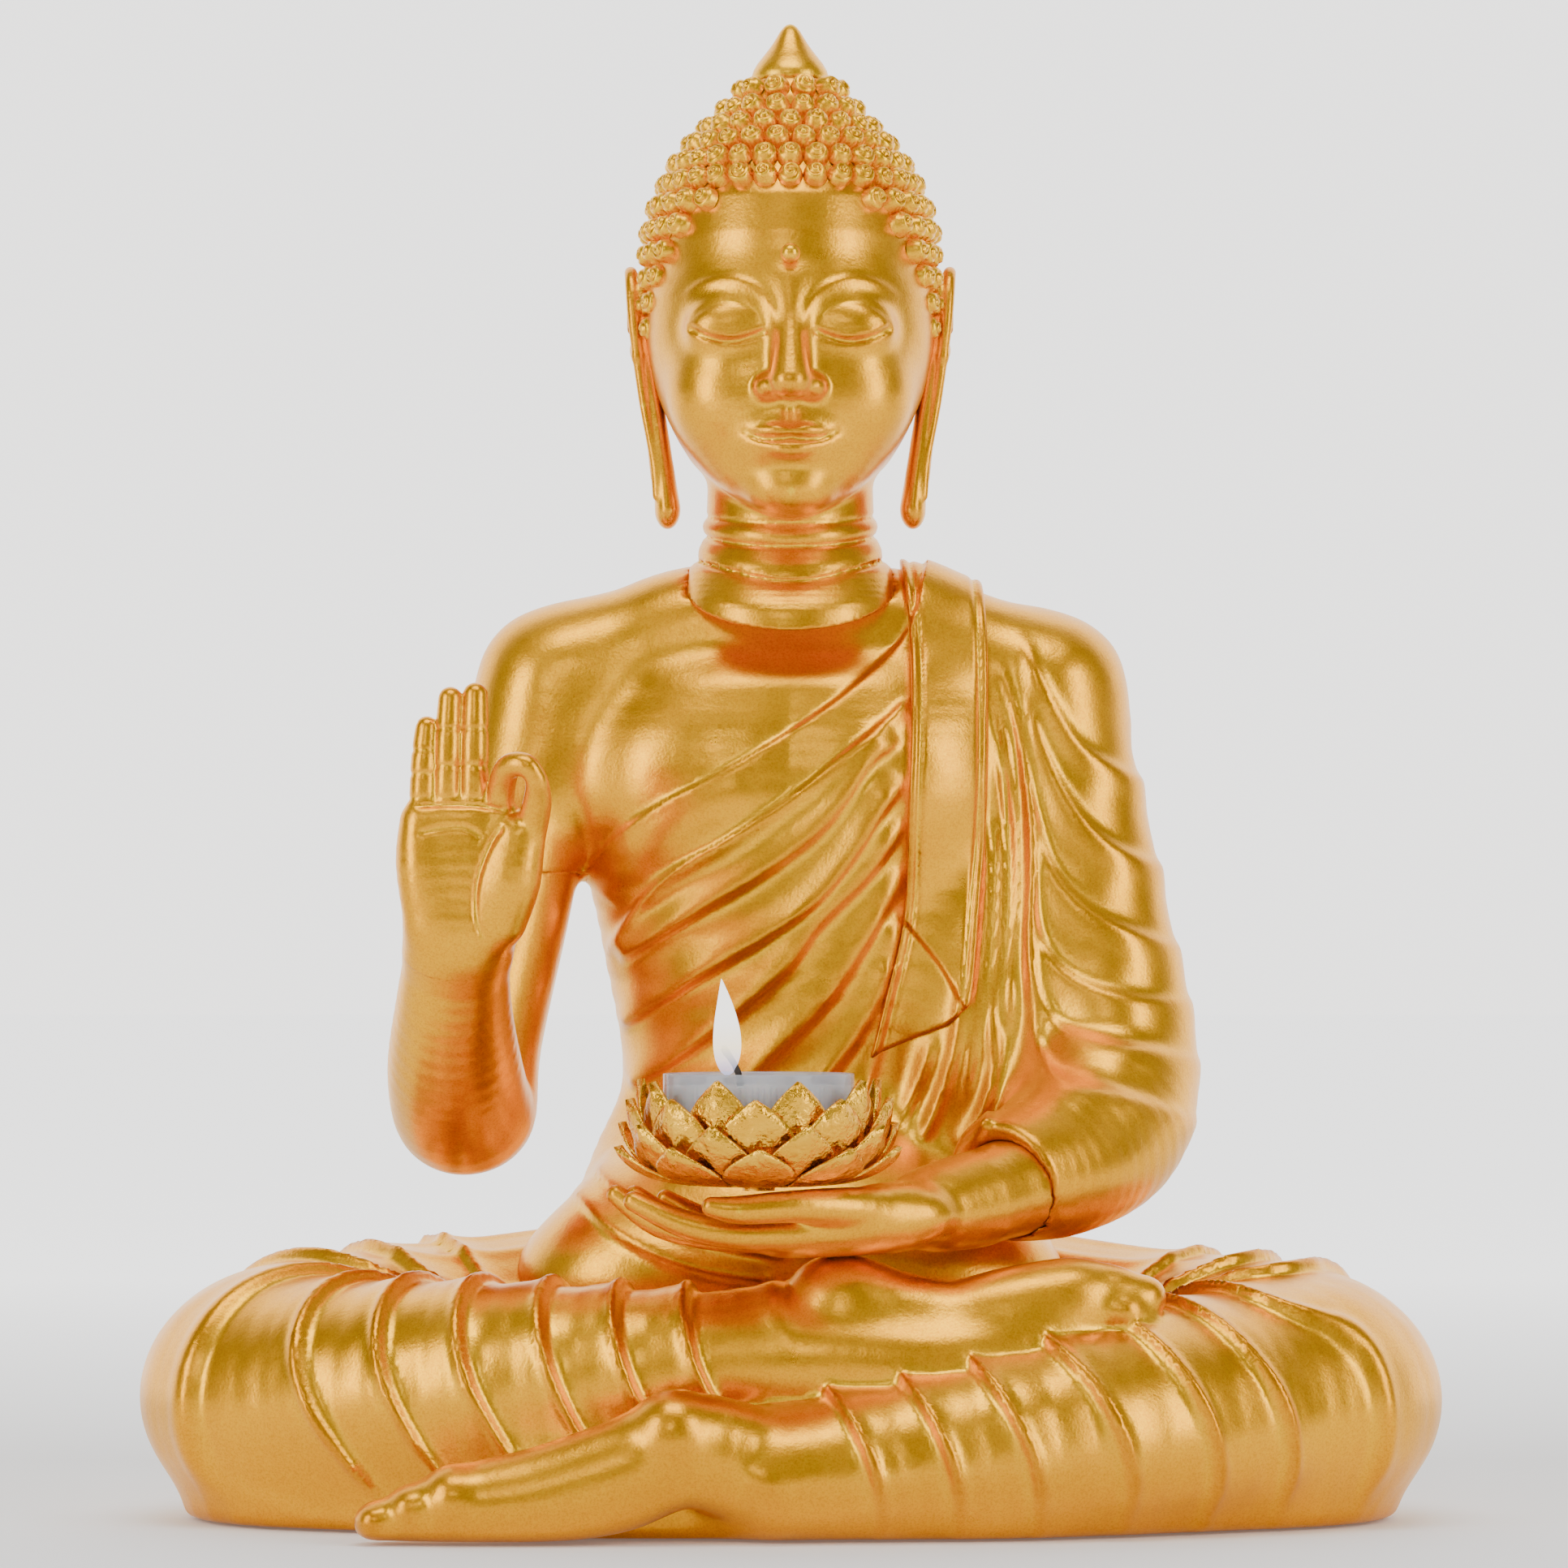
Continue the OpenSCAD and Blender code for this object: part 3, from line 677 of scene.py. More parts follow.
def shawl_field(p):
    x, z = p[:, 0], p[:, 2]
    base = draped(p)
    left, _ = shawl_left(x, z)
    right, _ = shawl_right(x, z)
    crease, _ = shawl_crease(x, z)
    hem = np.where(p[:, 1] < 20, np.interp(x, [15, 18.5, 26, 32, 36.5, 40],
                                           [92.5, 95, 98.3, 100.5, 104.4, 108]), 96)
    front = p[:, 1] < 20
    thick = 2.3 - 1.1 * (1 - ramp(crease, -0.5, 0.3)) * front * (z < 123.5)
    groove = 0.6 * bump(left - 2.0, 0.45) + 0.6 * bump(right + 1.9, 0.45)
    d = base - thick + groove
    d = smax(d, np.maximum(-left, right), 0.9)
    d = smax(d, (hem - z) * 0.9, 0.8)
    d = np.maximum(d, -(base + 0.2))
    return np.maximum(d, -np.maximum(neck_skin(p), -neck_plane(p)))


# ---------------------------------------------------------------- head

# The head's axis, and how much deeper than wide it is
HEAD_Y, HEAD_DEEP = 16, 1.08
scalp = np.array([
    (180, 14), (205, 16), (214, 18.4), (222, 22.6), (232, 26.6), (244, 29.2), (255, 29.6), (264, 29.0),
    (272, 27.0), (279, 23.5), (285, 18.9), (290, 13.9), (294, 10.3), (298, 8.2), (302, 7.4)
], np.float32)


def scalp_radius(z):
    return np.interp(z, scalp[:, 0], scalp[:, 1])


def scalp_field(p):
    z = p[:, 2]
    r = scalp_radius(z).astype(np.float32)
    slope = (scalp_radius(z + 1.5) - scalp_radius(z - 1.5)) / 3
    rho = np.sqrt(p[:, 0] ** 2 + ((p[:, 1] - HEAD_Y) / HEAD_DEEP) ** 2)
    d = ((rho - r) / np.sqrt(1 + slope ** 2)).astype(np.float32)
    return smax(np.maximum(d, z - 298.0), 214.0 - z, 6)


face_tube = Tube([
    ((0, 9, 250), (28.6, 26, 14)),
    ((0, 8, 240), (28.6, 25.4, 14)),
    ((0, 4, 228), (25, 21.5, 12.5)),
    ((0, -0.5, 218.5), (18.5, 15.5, 10)),
    ((0, -4, 213.5), (12, 11, 7.5)),
])
nose = Tube([((0, -14.6, 252), (2.6, 2.8, 3)), ((0, -17.2, 244), (2.9, 3.4, 4)),
             ((0, -19.6, 237), (3.6, 4.2, 4)), ((0, -21.6, 232.6), (4.3, 4.3, 3.7))], 4)
upper_lip = Tube([((-8, -15.6, 222.4), (1.0, 1.2, 0.9)), ((-3.2, -18.0, 222.7), (1.9, 1.6, 1.4)),
                  ((0, -18.4, 222.3), (1.6, 1.5, 1.2)), ((3.2, -18.0, 222.7), (1.9, 1.6, 1.4)),
                  ((8, -15.6, 222.4), (1.0, 1.2, 0.9))], 4)
lower_lip = Tube([((-6.6, -16.0, 220.3), (1.0, 1.2, 1.0)), ((0, -18.0, 218.9), (2.2, 1.9, 1.9)),
                  ((6.6, -16.0, 220.3), (1.0, 1.2, 1.0))], 5)
brow = Line([(3.2, 240), (3.6, 247), (6.4, 251.6), (12.5, 254.2), (19, 253), (24.5, 248.6)])
lid_slit = Line([(4.9, 243.5), (7.2, 242.4), (12, 241.2), (17, 242.2), (20.8, 244.4)])
lid_fold = Line([(5.6, 245.6), (8.6, 248.2), (13, 249.3), (17.6, 247.9), (20.6, 245.6)])
under_lid = Line([(7.4, 240.6), (12.4, 239.2), (17.4, 240.6)])
lip_line = Line([(-9.2, 222.6), (-6.0, 221.1), (-2.2, 220.9), (0, 221.3), (2.2, 220.9), (6.0, 221.1),
                 (9.2, 222.6)])


def face_field(p):
    d = face_tube(p)
    q = both_sides(p)
    x, z = q[:, 0], p[:, 2]
    # cheeks, chin and jaw
    d = smin(d, ellipsoid(q, (13.5, -5.5, 231), (9.5, 9.2, 9)), 8)
    d = smin(d, ellipsoid(p, (0, -10.6, 211.4), (7.4, 5.6, 5.2)), 5)
    # eye sockets and the closed lids
    d = smax(d, -ellipsoid(q, (12.3, -25.4, 245.6), (10.4, 8.6, 6.4)), 6)
    d = smin(d, ellipsoid(q, (12.6, -11.6, 244.4), (8.8, 6.4, 6.2)), 4)
    # nose
    d = smin(d, nose(p), 3.2)
    d = smin(d, ellipsoid(q, (4.7, -18.0, 231.5), (2.8, 3.7, 2.6)), 1.8)
    d = smax(d, -ellipsoid(q, (2.5, -20.2, 228.3), (1.2, 1.8, 0.9)), 0.8)
    # lips
    d = smin(d, ellipsoid(p, (0, -11.4, 221), (10.5, 7.6, 6.4)), 3.5)
    d = smin(d, upper_lip(p), 0.8)
    d = smin(d, lower_lip(p), 0.8)
    front = 1 - ramp(p[:, 1], -10, -4)
    # brows, lid lines, mouth line, philtrum
    b, t = brow(x, z)
    ridge = lip(b, 0.9, 1.9)
    d = d - front * 0.75 * ridge * faded(t, 0.35, 0.75)
    s, t = lid_slit(x, z)
    ends = faded(t, 0.08, 0.92)
    d = d + front * 1.1 * bump(s + 0.15, 0.6) * ends - front * 0.34 * bump(s - 0.75, 0.7) * ends
    s, t = lid_fold(x, z)
    d = d + front * 0.22 * bump(s, 0.6) * faded(t, 0.15, 0.85)
    s, t = under_lid(x, z)
    d = d + front * 0.1 * bump(s, 0.9) * faded(t, 0.3, 0.7)
    s, t = lip_line(p[:, 0], z)
    d = d + front * 0.9 * bump(s, 0.6) * (0.45 + 0.55 * faded(t, 0.12, 0.88))
    d = d + front * 0.5 * bump(p[:, 0], 1.0) * ramp(z, 223.4, 224.8) * (1 - ramp(z, 227.2, 229))
    d = d + front * 0.5 * bump(z - 215.2, 1.8) * bump(p[:, 0], 6)
    return d


def head_field(p):
    face = face_field(p)
    d = smin(scalp_field(p), face, 5)
    neck = neck_skin(p) - neck_rings(p)
    d = smin(d, neck, 2.2)
    return smax(d, -neck_plane(p), 0.9)


ear_shell = Tube([((30.6, 16.5, 252), (2.4, 6.4, 6)), ((30.6, 16.5, 245), (2.2, 6.2, 6)),
                  ((29.2, 15.5, 235), (2.0, 5.0, 5)), ((27.6, 14.5, 225), (1.9, 4.6, 5)),
                  ((26.2, 13.6, 214), (2.3, 4.6, 5)), ((25.6, 13.2, 208.4), (2.7, 4.6, 4.2))], 5)
ear_rim = Tube([((31.8, 10.6, 240), 1.1), ((32.6, 10.2, 248), 1.3), ((33.2, 13, 256), 1.3),
                ((33.4, 18, 258), 1.3), ((33.2, 22.6, 254), 1.3), ((32.4, 22.8, 246), 1.25),
                ((31, 20.6, 236), 1.15), ((29.4, 18.8, 226), 1.05), ((28.2, 17.6, 215), 1.0)], 5)
ear_front = Tube([((31.8, 10.6, 240), 1.1), ((30.4, 11, 230), 1.05), ((28.4, 10.6, 219), 1.0),
                  ((27.8, 10.4, 211), 0.9)], 4)
ear_inner = Tube([((33, 14.5, 243), 0.9), ((33.2, 18.4, 247.5), 1.0), ((33.2, 17.4, 252.5), 0.9)], 5)


def ear_field(side):
    def field(p):
        q = p.copy()
        q[:, 0] = q[:, 0] * side
        d = smin(ear_shell(q), ear_rim(q), 1.2)
        d = smin(d, ear_front(q), 1.0)
        d = smin(d, ellipsoid(q, (32, 12.4, 241.5), (1.5, 1.6, 2.4)), 0.8)
        d = smin(d, ear_inner(q), 0.8)
        return smax(d, -ellipsoid(q, (33.6, 15.6, 242.6), (1.9, 2.6, 3.6)), 0.8)

    return field


# ---------------------------------------------------------------- hands

def chain(joints, radii):
    return Tube(list(zip(joints, radii)), 5)


right_palm_parts = [
    Tube([((-66.5, -47, 117), (10.2, 8.6, 8)), ((-65.5, -50, 124), (11.4, 7.4, 8)),
          ((-64.5, -52, 134), (13.6, 6.2, 9)), ((-65, -53, 142), (12.2, 5.0, 6))], 4),
    Tube([((-58, -53.4, 123), (5.5, 4.6, 6)), ((-55.6, -55, 131), (5.8, 5.2, 7)),
          ((-54.2, -55.5, 138.5), (4.6, 4.4, 5))], 4),
    Tube([((-72, -52.6, 124), (5, 4.4, 7)), ((-74, -53.4, 134), (4.2, 4.4, 8)),
          ((-74, -53.6, 142), (3.4, 3.6, 4))], 4),
]
right_fingers = [chain(*c) for c in [
    ([(-73.6, -53, 141), (-73.3, -53.6, 148), (-73, -53.4, 155), (-72.6, -52.6, 160.8)],
     (2.8, 2.75, 2.7, 2.4)),
    ([(-68.6, -53.4, 142), (-68.4, -54.2, 150), (-68.2, -54, 159), (-67.9, -53.2, 166.6)],
     (2.95, 2.85, 2.75, 2.45)),
    ([(-63.3, -53.6, 142), (-63.1, -54.4, 150.5), (-63.0, -54.2, 160), (-62.9, -53.4, 167.4)],
     (3.05, 2.9, 2.8, 2.5)),
    ([(-58.2, -53.4, 141.5), (-57.6, -56.2, 148.6), (-56.0, -60.4, 152.8), (-52.6, -62.8, 153.2),
      (-50.4, -62.6, 150.6)],
     (2.9, 2.75, 2.55, 2.35, 2.1)),
    ([(-54.6, -55, 132), (-52, -56, 139.5), (-50.4, -59, 145.6), (-50.2, -62, 149.4)],
     (4.2, 3.3, 2.9, 2.3)),
]]


palm_lines = folds(
    (0.7, 0.5, [(-75, 145.2), (-69, 145.4), (-62, 145.2), (-56.5, 144.2)]),
    (0.75, 0.6, [(-57, 141.5), (-60, 137), (-62.4, 130), (-62.6, 123), (-61, 118)]),
    (0.45, 0.5, [(-74.6, 139.5), (-69, 140.8), (-64.2, 140.6), (-61.2, 138.4)]),
)


def right_hand_skin(p):
    d = right_palm_parts[0](p)
    d = smin(d, right_palm_parts[1](p), 3.5)
    d = smin(d, right_palm_parts[2](p), 3)
    x, z = p[:, 0], p[:, 2]
    fingers = None
    for i, finger in enumerate(right_fingers):
        f = finger(p)
        if i < 3:
            for level in (146.6, 153.2 if i else 151.6, 160.6 if i else 156.4):
                f = f + 0.3 * bump(z - level, 0.45)
        fingers = f if fingers is None else smin(fingers, f, 0.5)
    d = smin(d, fingers, 1.2)
    front = 1 - ramp(p[:, 1], -54, -51)
    for line, depth, width in palm_lines:
        s, t = line(x, z)
        d = d + depth * bump(s, width) * front * faded(t, 0.12, 0.88)
    back = ramp(p[:, 1], -54, -52.6)
    for cx, cz in ((-73.2, 160.6), (-68.5, 166.4), (-62.7, 167.2)):
        nail = np.maximum(np.abs(x - cx) - 1.35, np.abs(z - cz + 0.4) - 1.7)
        d = d + 0.22 * bump(nail, 0.3) * back
    return d


WRIST_UP = arr(0.0, -0.62, 0.785)
WRIST_AT = arr(-66.5, -46, 117)


def right_wrist(p):
    """Positive on the hand's side of the wrist."""
    return (p - WRIST_AT) @ WRIST_UP


def arm_and_hand(p):
    return smin(right_arm_tube(p), right_hand_skin(p), 4)


def right_arm_field(p):
    d = smin(upper_body(p), right_hand_skin(p), 4)
    d = np.maximum(d, right_wrist(p) - WRIST_OVERLAP)
    return np.maximum(d, arm_share(p) - ARM_OVERLAP)


def right_hand_field(p):
    return np.maximum(arm_and_hand(p), -right_wrist(p) - WRIST_OVERLAP)


left_fingers = [chain(*c) for c in [
    ([(2, -70, 61), (-10, -73, 60.6), (-21, -73, 62.6), (-31, -71, 67)], (3.4, 3.1, 2.8, 2.0)),
    ([(0, -65, 60), (-14, -66, 60), (-26, -65, 62.4), (-34.5, -63, 68)], (3.4, 3.1, 2.8, 2.0)),
    ([(-2, -59, 60), (-14, -58, 60.4), (-24, -56, 63), (-31, -54, 67.6)], (3.3, 3.0, 2.7, 2.0)),
    ([(-2, -53, 60), (-10, -51, 60.4), (-18, -49, 63), (-25, -47, 66.6)], (3.0, 2.7, 2.4, 1.9)),
    ([(22, -62, 64), (12, -71, 65.6), (1, -77, 66.2), (-10, -79.4, 65.6), (-15.5, -79.6, 66.2)],
     (5.6, 4.2, 3.3, 2.8, 2.0)),
]]
left_palm_tube = Tube([
    ((36, -46, 66), (10, 9, 8.5)),
    ((26, -54, 64), (10.5, 9.5, 7)),
    ((12, -61, 61.6), (12, 11.5, 5.8)),
    ((0, -63, 60.6), (9, 11.5, 5.2)),
], 5)


def lotus_clear(p):
    """Keeps the open hand clear of the lotus that stands on it."""
    x, y = p[:, 0] + 6.3, p[:, 1] + 62
    rho = np.sqrt(x * x + y * y)
    z = p[:, 2]
    cone = (rho - 15.2) - np.maximum(z - 68.6, 0) * 1.5
    return np.maximum(68.5 - z, np.where(z < 80, cone * 0.6, 9))


def left_hand_skin(p):
    d = smin(left_palm_tube(p), left_forearm_tube(p), 3)
    d = smin(d, ellipsoid(p, (20, -61, 64), (12, 7.5, 6)), 3)
    for i, finger in enumerate(left_fingers):
        d = smin(d, finger(p), 2.0 if i == 4 else 1.2)
    return d


def left_hand_field(p):
    d = left_hand_skin(p)
    d = smax(d, -lotus_clear(p), 0.5)
    return np.maximum(d, -(cuff_plane(p) + 9))


CUFF_AT = arr(42, -38, 69)
CUFF_OUT = arr(-0.64, -0.755, -0.14)


def cuff_plane(p):
    """Positive on the hand's side of the sleeve's end."""
    return (p - CUFF_AT) @ CUFF_OUT


# ---------------------------------------------------------------- build the castings

def casting(name, field, lo, hi, voxel, node):
    piece(mesh_field(name, field, lo, hi, voxel), "gold", "statue", node)


def paint(obj, slot):
    obj.data.materials.clear()
    obj.data.materials.append(paints[slot])


def piece(obj, slot, body, node):
    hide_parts(node)
    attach(obj, body)
    paint(obj, slot)


# ---------------------------------------------------------------- materials

class Paint:
    """A procedural material: one Principled shader with noise for colour, roughness and bump."""

    def __init__(self, name):
        self.m = bpy.data.materials.new(name)
        self.m.use_nodes = True
        self.t = self.m.node_tree
        self.t.nodes.clear()
        self.b = self.t.nodes.new("ShaderNodeBsdfPrincipled")
        self.t.links.new(self.b.outputs[0], self.t.nodes.new("ShaderNodeOutputMaterial").inputs[0])
        self.coord = self.t.nodes.new("ShaderNodeTexCoord").outputs["Object"]

    def set(self, **values):
        for key, v in values.items():
            self.b.inputs[key.replace("_", " ")].default_value = v
        return self

    def noise(self, scale, detail=3.0, rough=0.5, stretch=(1, 1, 1)):
        mp = self.t.nodes.new("ShaderNodeMapping")
        mp.inputs["Scale"].default_value = stretch
        self.t.links.new(self.coord, mp.inputs["Vector"])
        n = self.t.nodes.new("ShaderNodeTexNoise")
        n.inputs["Scale"].default_value = scale
        n.inputs["Detail"].default_value = detail
        n.inputs["Roughness"].default_value = rough
        self.t.links.new(mp.outputs[0], n.inputs["Vector"])
        return n.outputs["Fac"]

    def ramp(self, src, stops):
        r = self.t.nodes.new("ShaderNodeValToRGB")
        el = r.color_ramp.elements
        while len(el) < len(stops):
            el.new(0.5)
        for e, (pos, col) in zip(el, stops):
            e.position = pos
            e.color = (*col, 1) if len(col) == 3 else col
        self.t.links.new(src, r.inputs["Fac"])
        return r.outputs["Color"]

    def range(self, src, lo, hi, to_lo, to_hi):
        r = self.t.nodes.new("ShaderNodeMapRange")
        for i, v in zip((1, 2, 3, 4), (lo, hi, to_lo, to_hi)):
            r.inputs[i].default_value = v
        self.t.links.new(src, r.inputs[0])
        return r.outputs[0]

    def mix(self, fac, a, b, how="MIX"):
        m = self.t.nodes.new("ShaderNodeMix")
        m.data_type = "RGBA"
        m.blend_type = how
        for src, sock in ((fac, m.inputs[0]), (a, m.inputs[6]), (b, m.inputs[7])):
            if hasattr(src, "is_output"):
                self.t.links.new(src, sock)
            else:
                sock.default_value = (*src, 1) if hasattr(src, "__len__") else src
        return m.outputs[2]

    def link(self, src, key):
        self.t.links.new(src, self.b.inputs[key])
        return self

    def bumps(self, *layers):
        """Layers are (source, strength, distance in metres)."""
        last = None
        for src, strength, distance in layers:
            n = self.t.nodes.new("ShaderNodeBump")
            n.inputs["Strength"].default_value = strength
            n.inputs["Distance"].default_value = distance
            self.t.links.new(src, n.inputs["Height"])
            if last is not None:
                self.t.links.new(last, n.inputs["Normal"])
            last = n.outputs[0]
        self.t.links.new(last, self.b.inputs["Normal"])
        return self


def gold_paint():
    p = Paint("gold_paint")
    base = p.ramp(p.noise(24, 4, 0.6), [(0.3, (0.84, 0.37, 0.002)), (0.7, (0.92, 0.43, 0.003))])
    grain = p.ramp(p.noise(2400, 2, 0.7), [(0.36, (0.74, 0.66, 0.6)), (0.5, (1, 1, 1)),
                                           (0.66, (1.06, 1.3, 1.5))])
    col = p.mix(0.55, base, grain, "MULTIPLY")
    # Painted shade and painted highlight: pointiness darkens the gold to orange-brown in hollows and creases
    # and paints it paler on ridges and edges
    geo = p.t.nodes.new("ShaderNodeNewGeometry").outputs["Pointiness"]
    cavity_shade_edge_highlight = p.ramp(geo, [(0.42, (0.66, 0.46, 0.3)), (0.485, (0.95, 0.9, 0.8)), (0.505, (1, 1, 1)),
                        (0.58, (1.06, 1.3, 2.0))])
    p.link(p.mix(1.0, col, cavity_shade_edge_highlight, "MULTIPLY"), "Base Color")
    p.link(p.range(p.noise(90, 3, 0.6), 0.3, 0.7, 0.27, 0.36), "Roughness")
    p.set(Metallic=0.96)
    p.bumps((p.noise(1900, 2, 0.5), 0.25, 0.00014), (p.noise(110, 4, 0.6), 0.25, 0.0007))
    return p.m


def lotus_metal():
    p = Paint("lotus_metal")
    base = p.ramp(p.noise(160, 3, 0.6), [(0.3, (0.84, 0.40, 0.01)), (0.7, (0.94, 0.52, 0.03))])
    p.link(base, "Base Color")
    p.link(p.range(p.noise(260, 3, 0.6), 0.3, 0.7, 0.2, 0.34), "Roughness")
    p.set(Metallic=1.0)
    p.bumps((p.noise(420, 3, 0.55), 0.8, 0.0009), (p.noise(2200, 2, 0.5), 0.15, 0.0001))
    return p.m


def plain(name, low, high, scale, rough, metallic=0.0, bump_scale=600, bump=0.2, depth=0.0002, **extra):
    p = Paint(name)
    p.link(p.ramp(p.noise(scale, 3, 0.6), [(0.3, low), (0.7, high)]), "Base Color")
    p.link(p.range(p.noise(scale * 1.7, 3, 0.6), 0.3, 0.7, rough * 0.85, rough * 1.15), "Roughness")
    p.set(Metallic=metallic, **extra)
    p.bumps((p.noise(bump_scale, 3, 0.6), bump, depth))
    return p.m


def flame_glow():
    m = bpy.data.materials.new("flame_glow")
    m.use_nodes = True
    t = m.node_tree
    t.nodes.clear()
    out = t.nodes.new("ShaderNodeOutputMaterial")
    glow = t.nodes.new("ShaderNodeEmission")
    clear = t.nodes.new("ShaderNodeBsdfTransparent")
    mix = t.nodes.new("ShaderNodeMixShader")
    coord = t.nodes.new("ShaderNodeTexCoord")
    sep = t.nodes.new("ShaderNodeSeparateXYZ")
    t.links.new(coord.outputs["Generated"], sep.inputs[0])
    ramp = t.nodes.new("ShaderNodeValToRGB")
    el = ramp.color_ramp.elements
    el[0].position, el[0].color = 0.0, (0.45, 0.5, 0.9, 1)
    el[1].position, el[1].color = 0.30, (1.0, 0.86, 0.62, 1)
    e = el.new(0.55)
    e.color = (1.0, 0.97, 0.9, 1)
    t.links.new(sep.outputs[2], ramp.inputs[0])
    t.links.new(ramp.outputs[0], glow.inputs["Color"])
    glow.inputs["Strength"].default_value = 2.6
    solid = t.nodes.new("ShaderNodeMapRange")
    for i, v in zip((1, 2, 3, 4), (0.02, 0.32, 0.25, 0.93)):
        solid.inputs[i].default_value = v
    t.links.new(sep.outputs[2], solid.inputs[0])
    t.links.new(solid.outputs[0], mix.inputs[0])
    t.links.new(clear.outputs[0], mix.inputs[1])
    t.links.new(glow.outputs[0], mix.inputs[2])
    t.links.new(mix.outputs[0], out.inputs[0])
    return m


paints = {
    "gold": gold_paint(),
    "lotus": lotus_metal(),
    "steel": plain("steel", (0.5, 0.5, 0.52), (0.66, 0.66, 0.68), 60, 0.3, 1.0),
    "clear_cup": plain("clear_cup", (0.42, 0.45, 0.5), (0.55, 0.58, 0.62), 80, 0.07, 0.0, 300, 0.05,
                       Alpha=0.5, IOR=1.5),
    "wax": plain("wax", (0.86, 0.85, 0.82), (0.93, 0.92, 0.9), 90, 0.42, 0.0, 260, 0.15,
                 Subsurface_Weight=0.3),
    "clip": plain("clip", (0.6, 0.6, 0.6), (0.78, 0.78, 0.78), 200, 0.35, 1.0),
    "wick": plain("burnt_wick", (0.012, 0.010, 0.009), (0.05, 0.035, 0.025), 900, 0.85, 0.0, 1800, 0.6,
                  0.0004),
    "board": plain("fibreboard", (0.20, 0.13, 0.08), (0.30, 0.20, 0.13), 120, 0.8, 0.0, 900, 0.4),
    "felt": plain("felt", (0.035, 0.022, 0.02), (0.07, 0.045, 0.04), 400, 0.95, 0.0, 2600, 0.9, 0.0005),
}
flame = flame_glow()

casting("lap_sculpt", lap_field, (-134, -90, 0), (134, 74, 64), 1.17, "lap_casting")
casting("torso_sculpt", torso_field, (-68, -50, 45), (88, 56, 200), 0.96, "torso_casting")
casting("shawl_sculpt", shawl_field, (12, -28, 88), (44, 56, 200), 0.55, "shoulder_shawl")
casting("head_sculpt", head_field, (-33, -26, 176), (33, 52, 299), 0.62, "head_casting")
casting("right_hand_sculpt", right_hand_field, (-80, -68, 108), (-44, -36, 171), 0.5, "right_hand")
casting("right_arm_sculpt", right_arm_field, (-84, -60, 66), (-40, 32, 134), 0.8, "right_arm")
casting("left_hand_sculpt", left_hand_field, (-40, -84, 50), (62, -20, 80), 0.6, "left_hand")
casting("right_ear_sculpt", ear_field(-1), (-37, 5, 200), (-20, 26, 261), 0.45, "right_ear")
casting("left_ear_sculpt", ear_field(1), (20, 5, 200), (37, 26, 261), 0.45, "left_ear")


# ---------------------------------------------------------------- hair

CURL_R, ROW_STEP = 2.45, 5.1
rng = np.random.default_rng(11)


def scalp_slope(z):
    return float(scalp_radius(z + 0.5)) - float(scalp_radius(z - 0.5))


def hairline(a):
    return np.interp(a, [0, 25, 38, 52, 60, 66, 80, 84, 105, 108, 124, 180],
                     [274.2, 273.2, 271, 265.5, 258, 244.5, 244.5, 262, 263, 246, 222, 217])


def snail(flip):
    """One snail-shell curl: a dome with a spiral groove, foot at z = 0."""
    rings, spokes = 11, 22
    verts, faces = [(0.0, 0.0, 3.3)], []
    for j in range(1, rings + 1):
        u = j / rings
        for i in range(spokes):
            a = 2 * math.pi * i / spokes
            h = 3.4 * math.sqrt(max(0.0, 1 - u ** 2.4))
            turn = (u * 2.1 - flip * a / (2 * math.pi)) % 1
            dip = 0.75 * math.exp(-((turn - 0.5) / 0.17) ** 2) * (1 - 0.35 * u) * min(1, u * 5)
            r = 2.72 * u * (1 - 0.03 * dip)
            verts.append((r * math.cos(a), r * math.sin(a),
                          max(h - dip * (0.4 + 0.6 * math.sqrt(1 - u * u)), -0.5)))
    for i in range(spokes):
        faces.append((0, 1 + i, 1 + (i + 1) % spokes))
    for j in range(rings - 1):
        for i in range(spokes):
            p, q = 1 + j * spokes + i, 1 + j * spokes + (i + 1) % spokes
            faces.append((p, p + spokes, q + spokes, q))
    return np.array(verts), faces


shells = [snail(1), snail(-1)]


def rows_of_curls():
    z = 295.5
    k = 0
    while z >= 217:
        yield k, z
        z -= ROW_STEP / math.hypot(1, scalp_slope(z))
        k += 1


def curls(name, node, z_low, z_high, a_low, a_high):
    verts, faces = [], []
    for k, z in rows_of_curls():
        if not z_low < z <= z_high:
            continue
        r = float(scalp_radius(z))
        n = math.floor(math.pi * r * 2.08 / (2 * CURL_R + 0.35))
        for i in range(n):
            a = 360 * (i + 0.5 * (k % 2)) / n - 180
            if not (a_low <= abs(a) < a_high and z > hairline(abs(a))):
                continue
            t = math.radians(a)
            out = Vector((HEAD_DEEP * math.sin(t), -math.cos(t), -scalp_slope(z) * HEAD_DEEP)).normalized()
            at = Vector((r * math.sin(t), HEAD_Y - HEAD_DEEP * r * math.cos(t), z)) - out * 0.1
            tip = Vector([rng.normal(0, 0.05) for _ in range(3)])
            turn = (out + tip).to_track_quat("Z", "Y").to_matrix()
            spin = Matrix.Rotation(rng.uniform(0, 2 * math.pi), 3, "Z")
            size = rng.uniform(0.96, 1.06)
            m = np.array(turn @ spin) * size
            v, f = shells[int(rng.integers(0, 2))]
            start = len(verts)
            verts.extend((v @ m.T + np.array(at)).tolist())
            faces.extend([tuple(start + q for q in face) for face in f])
    piece(mesh_from(name, verts, faces), "gold", "statue", node)


curls("hairline_curls_shells", "hairline_curls", 255, 279, 0, 50)
curls("crown_curls_shells", "crown_curls", 279, 290, 0, 181)
curls("side_curls_shells", "side_curls", 200, 279, 50, 110)
curls("nape_curls_shells", "nape_curls", 200, 279, 110, 181)
curls("top_curls_shells", "top_curls", 290, 300, 0, 181)

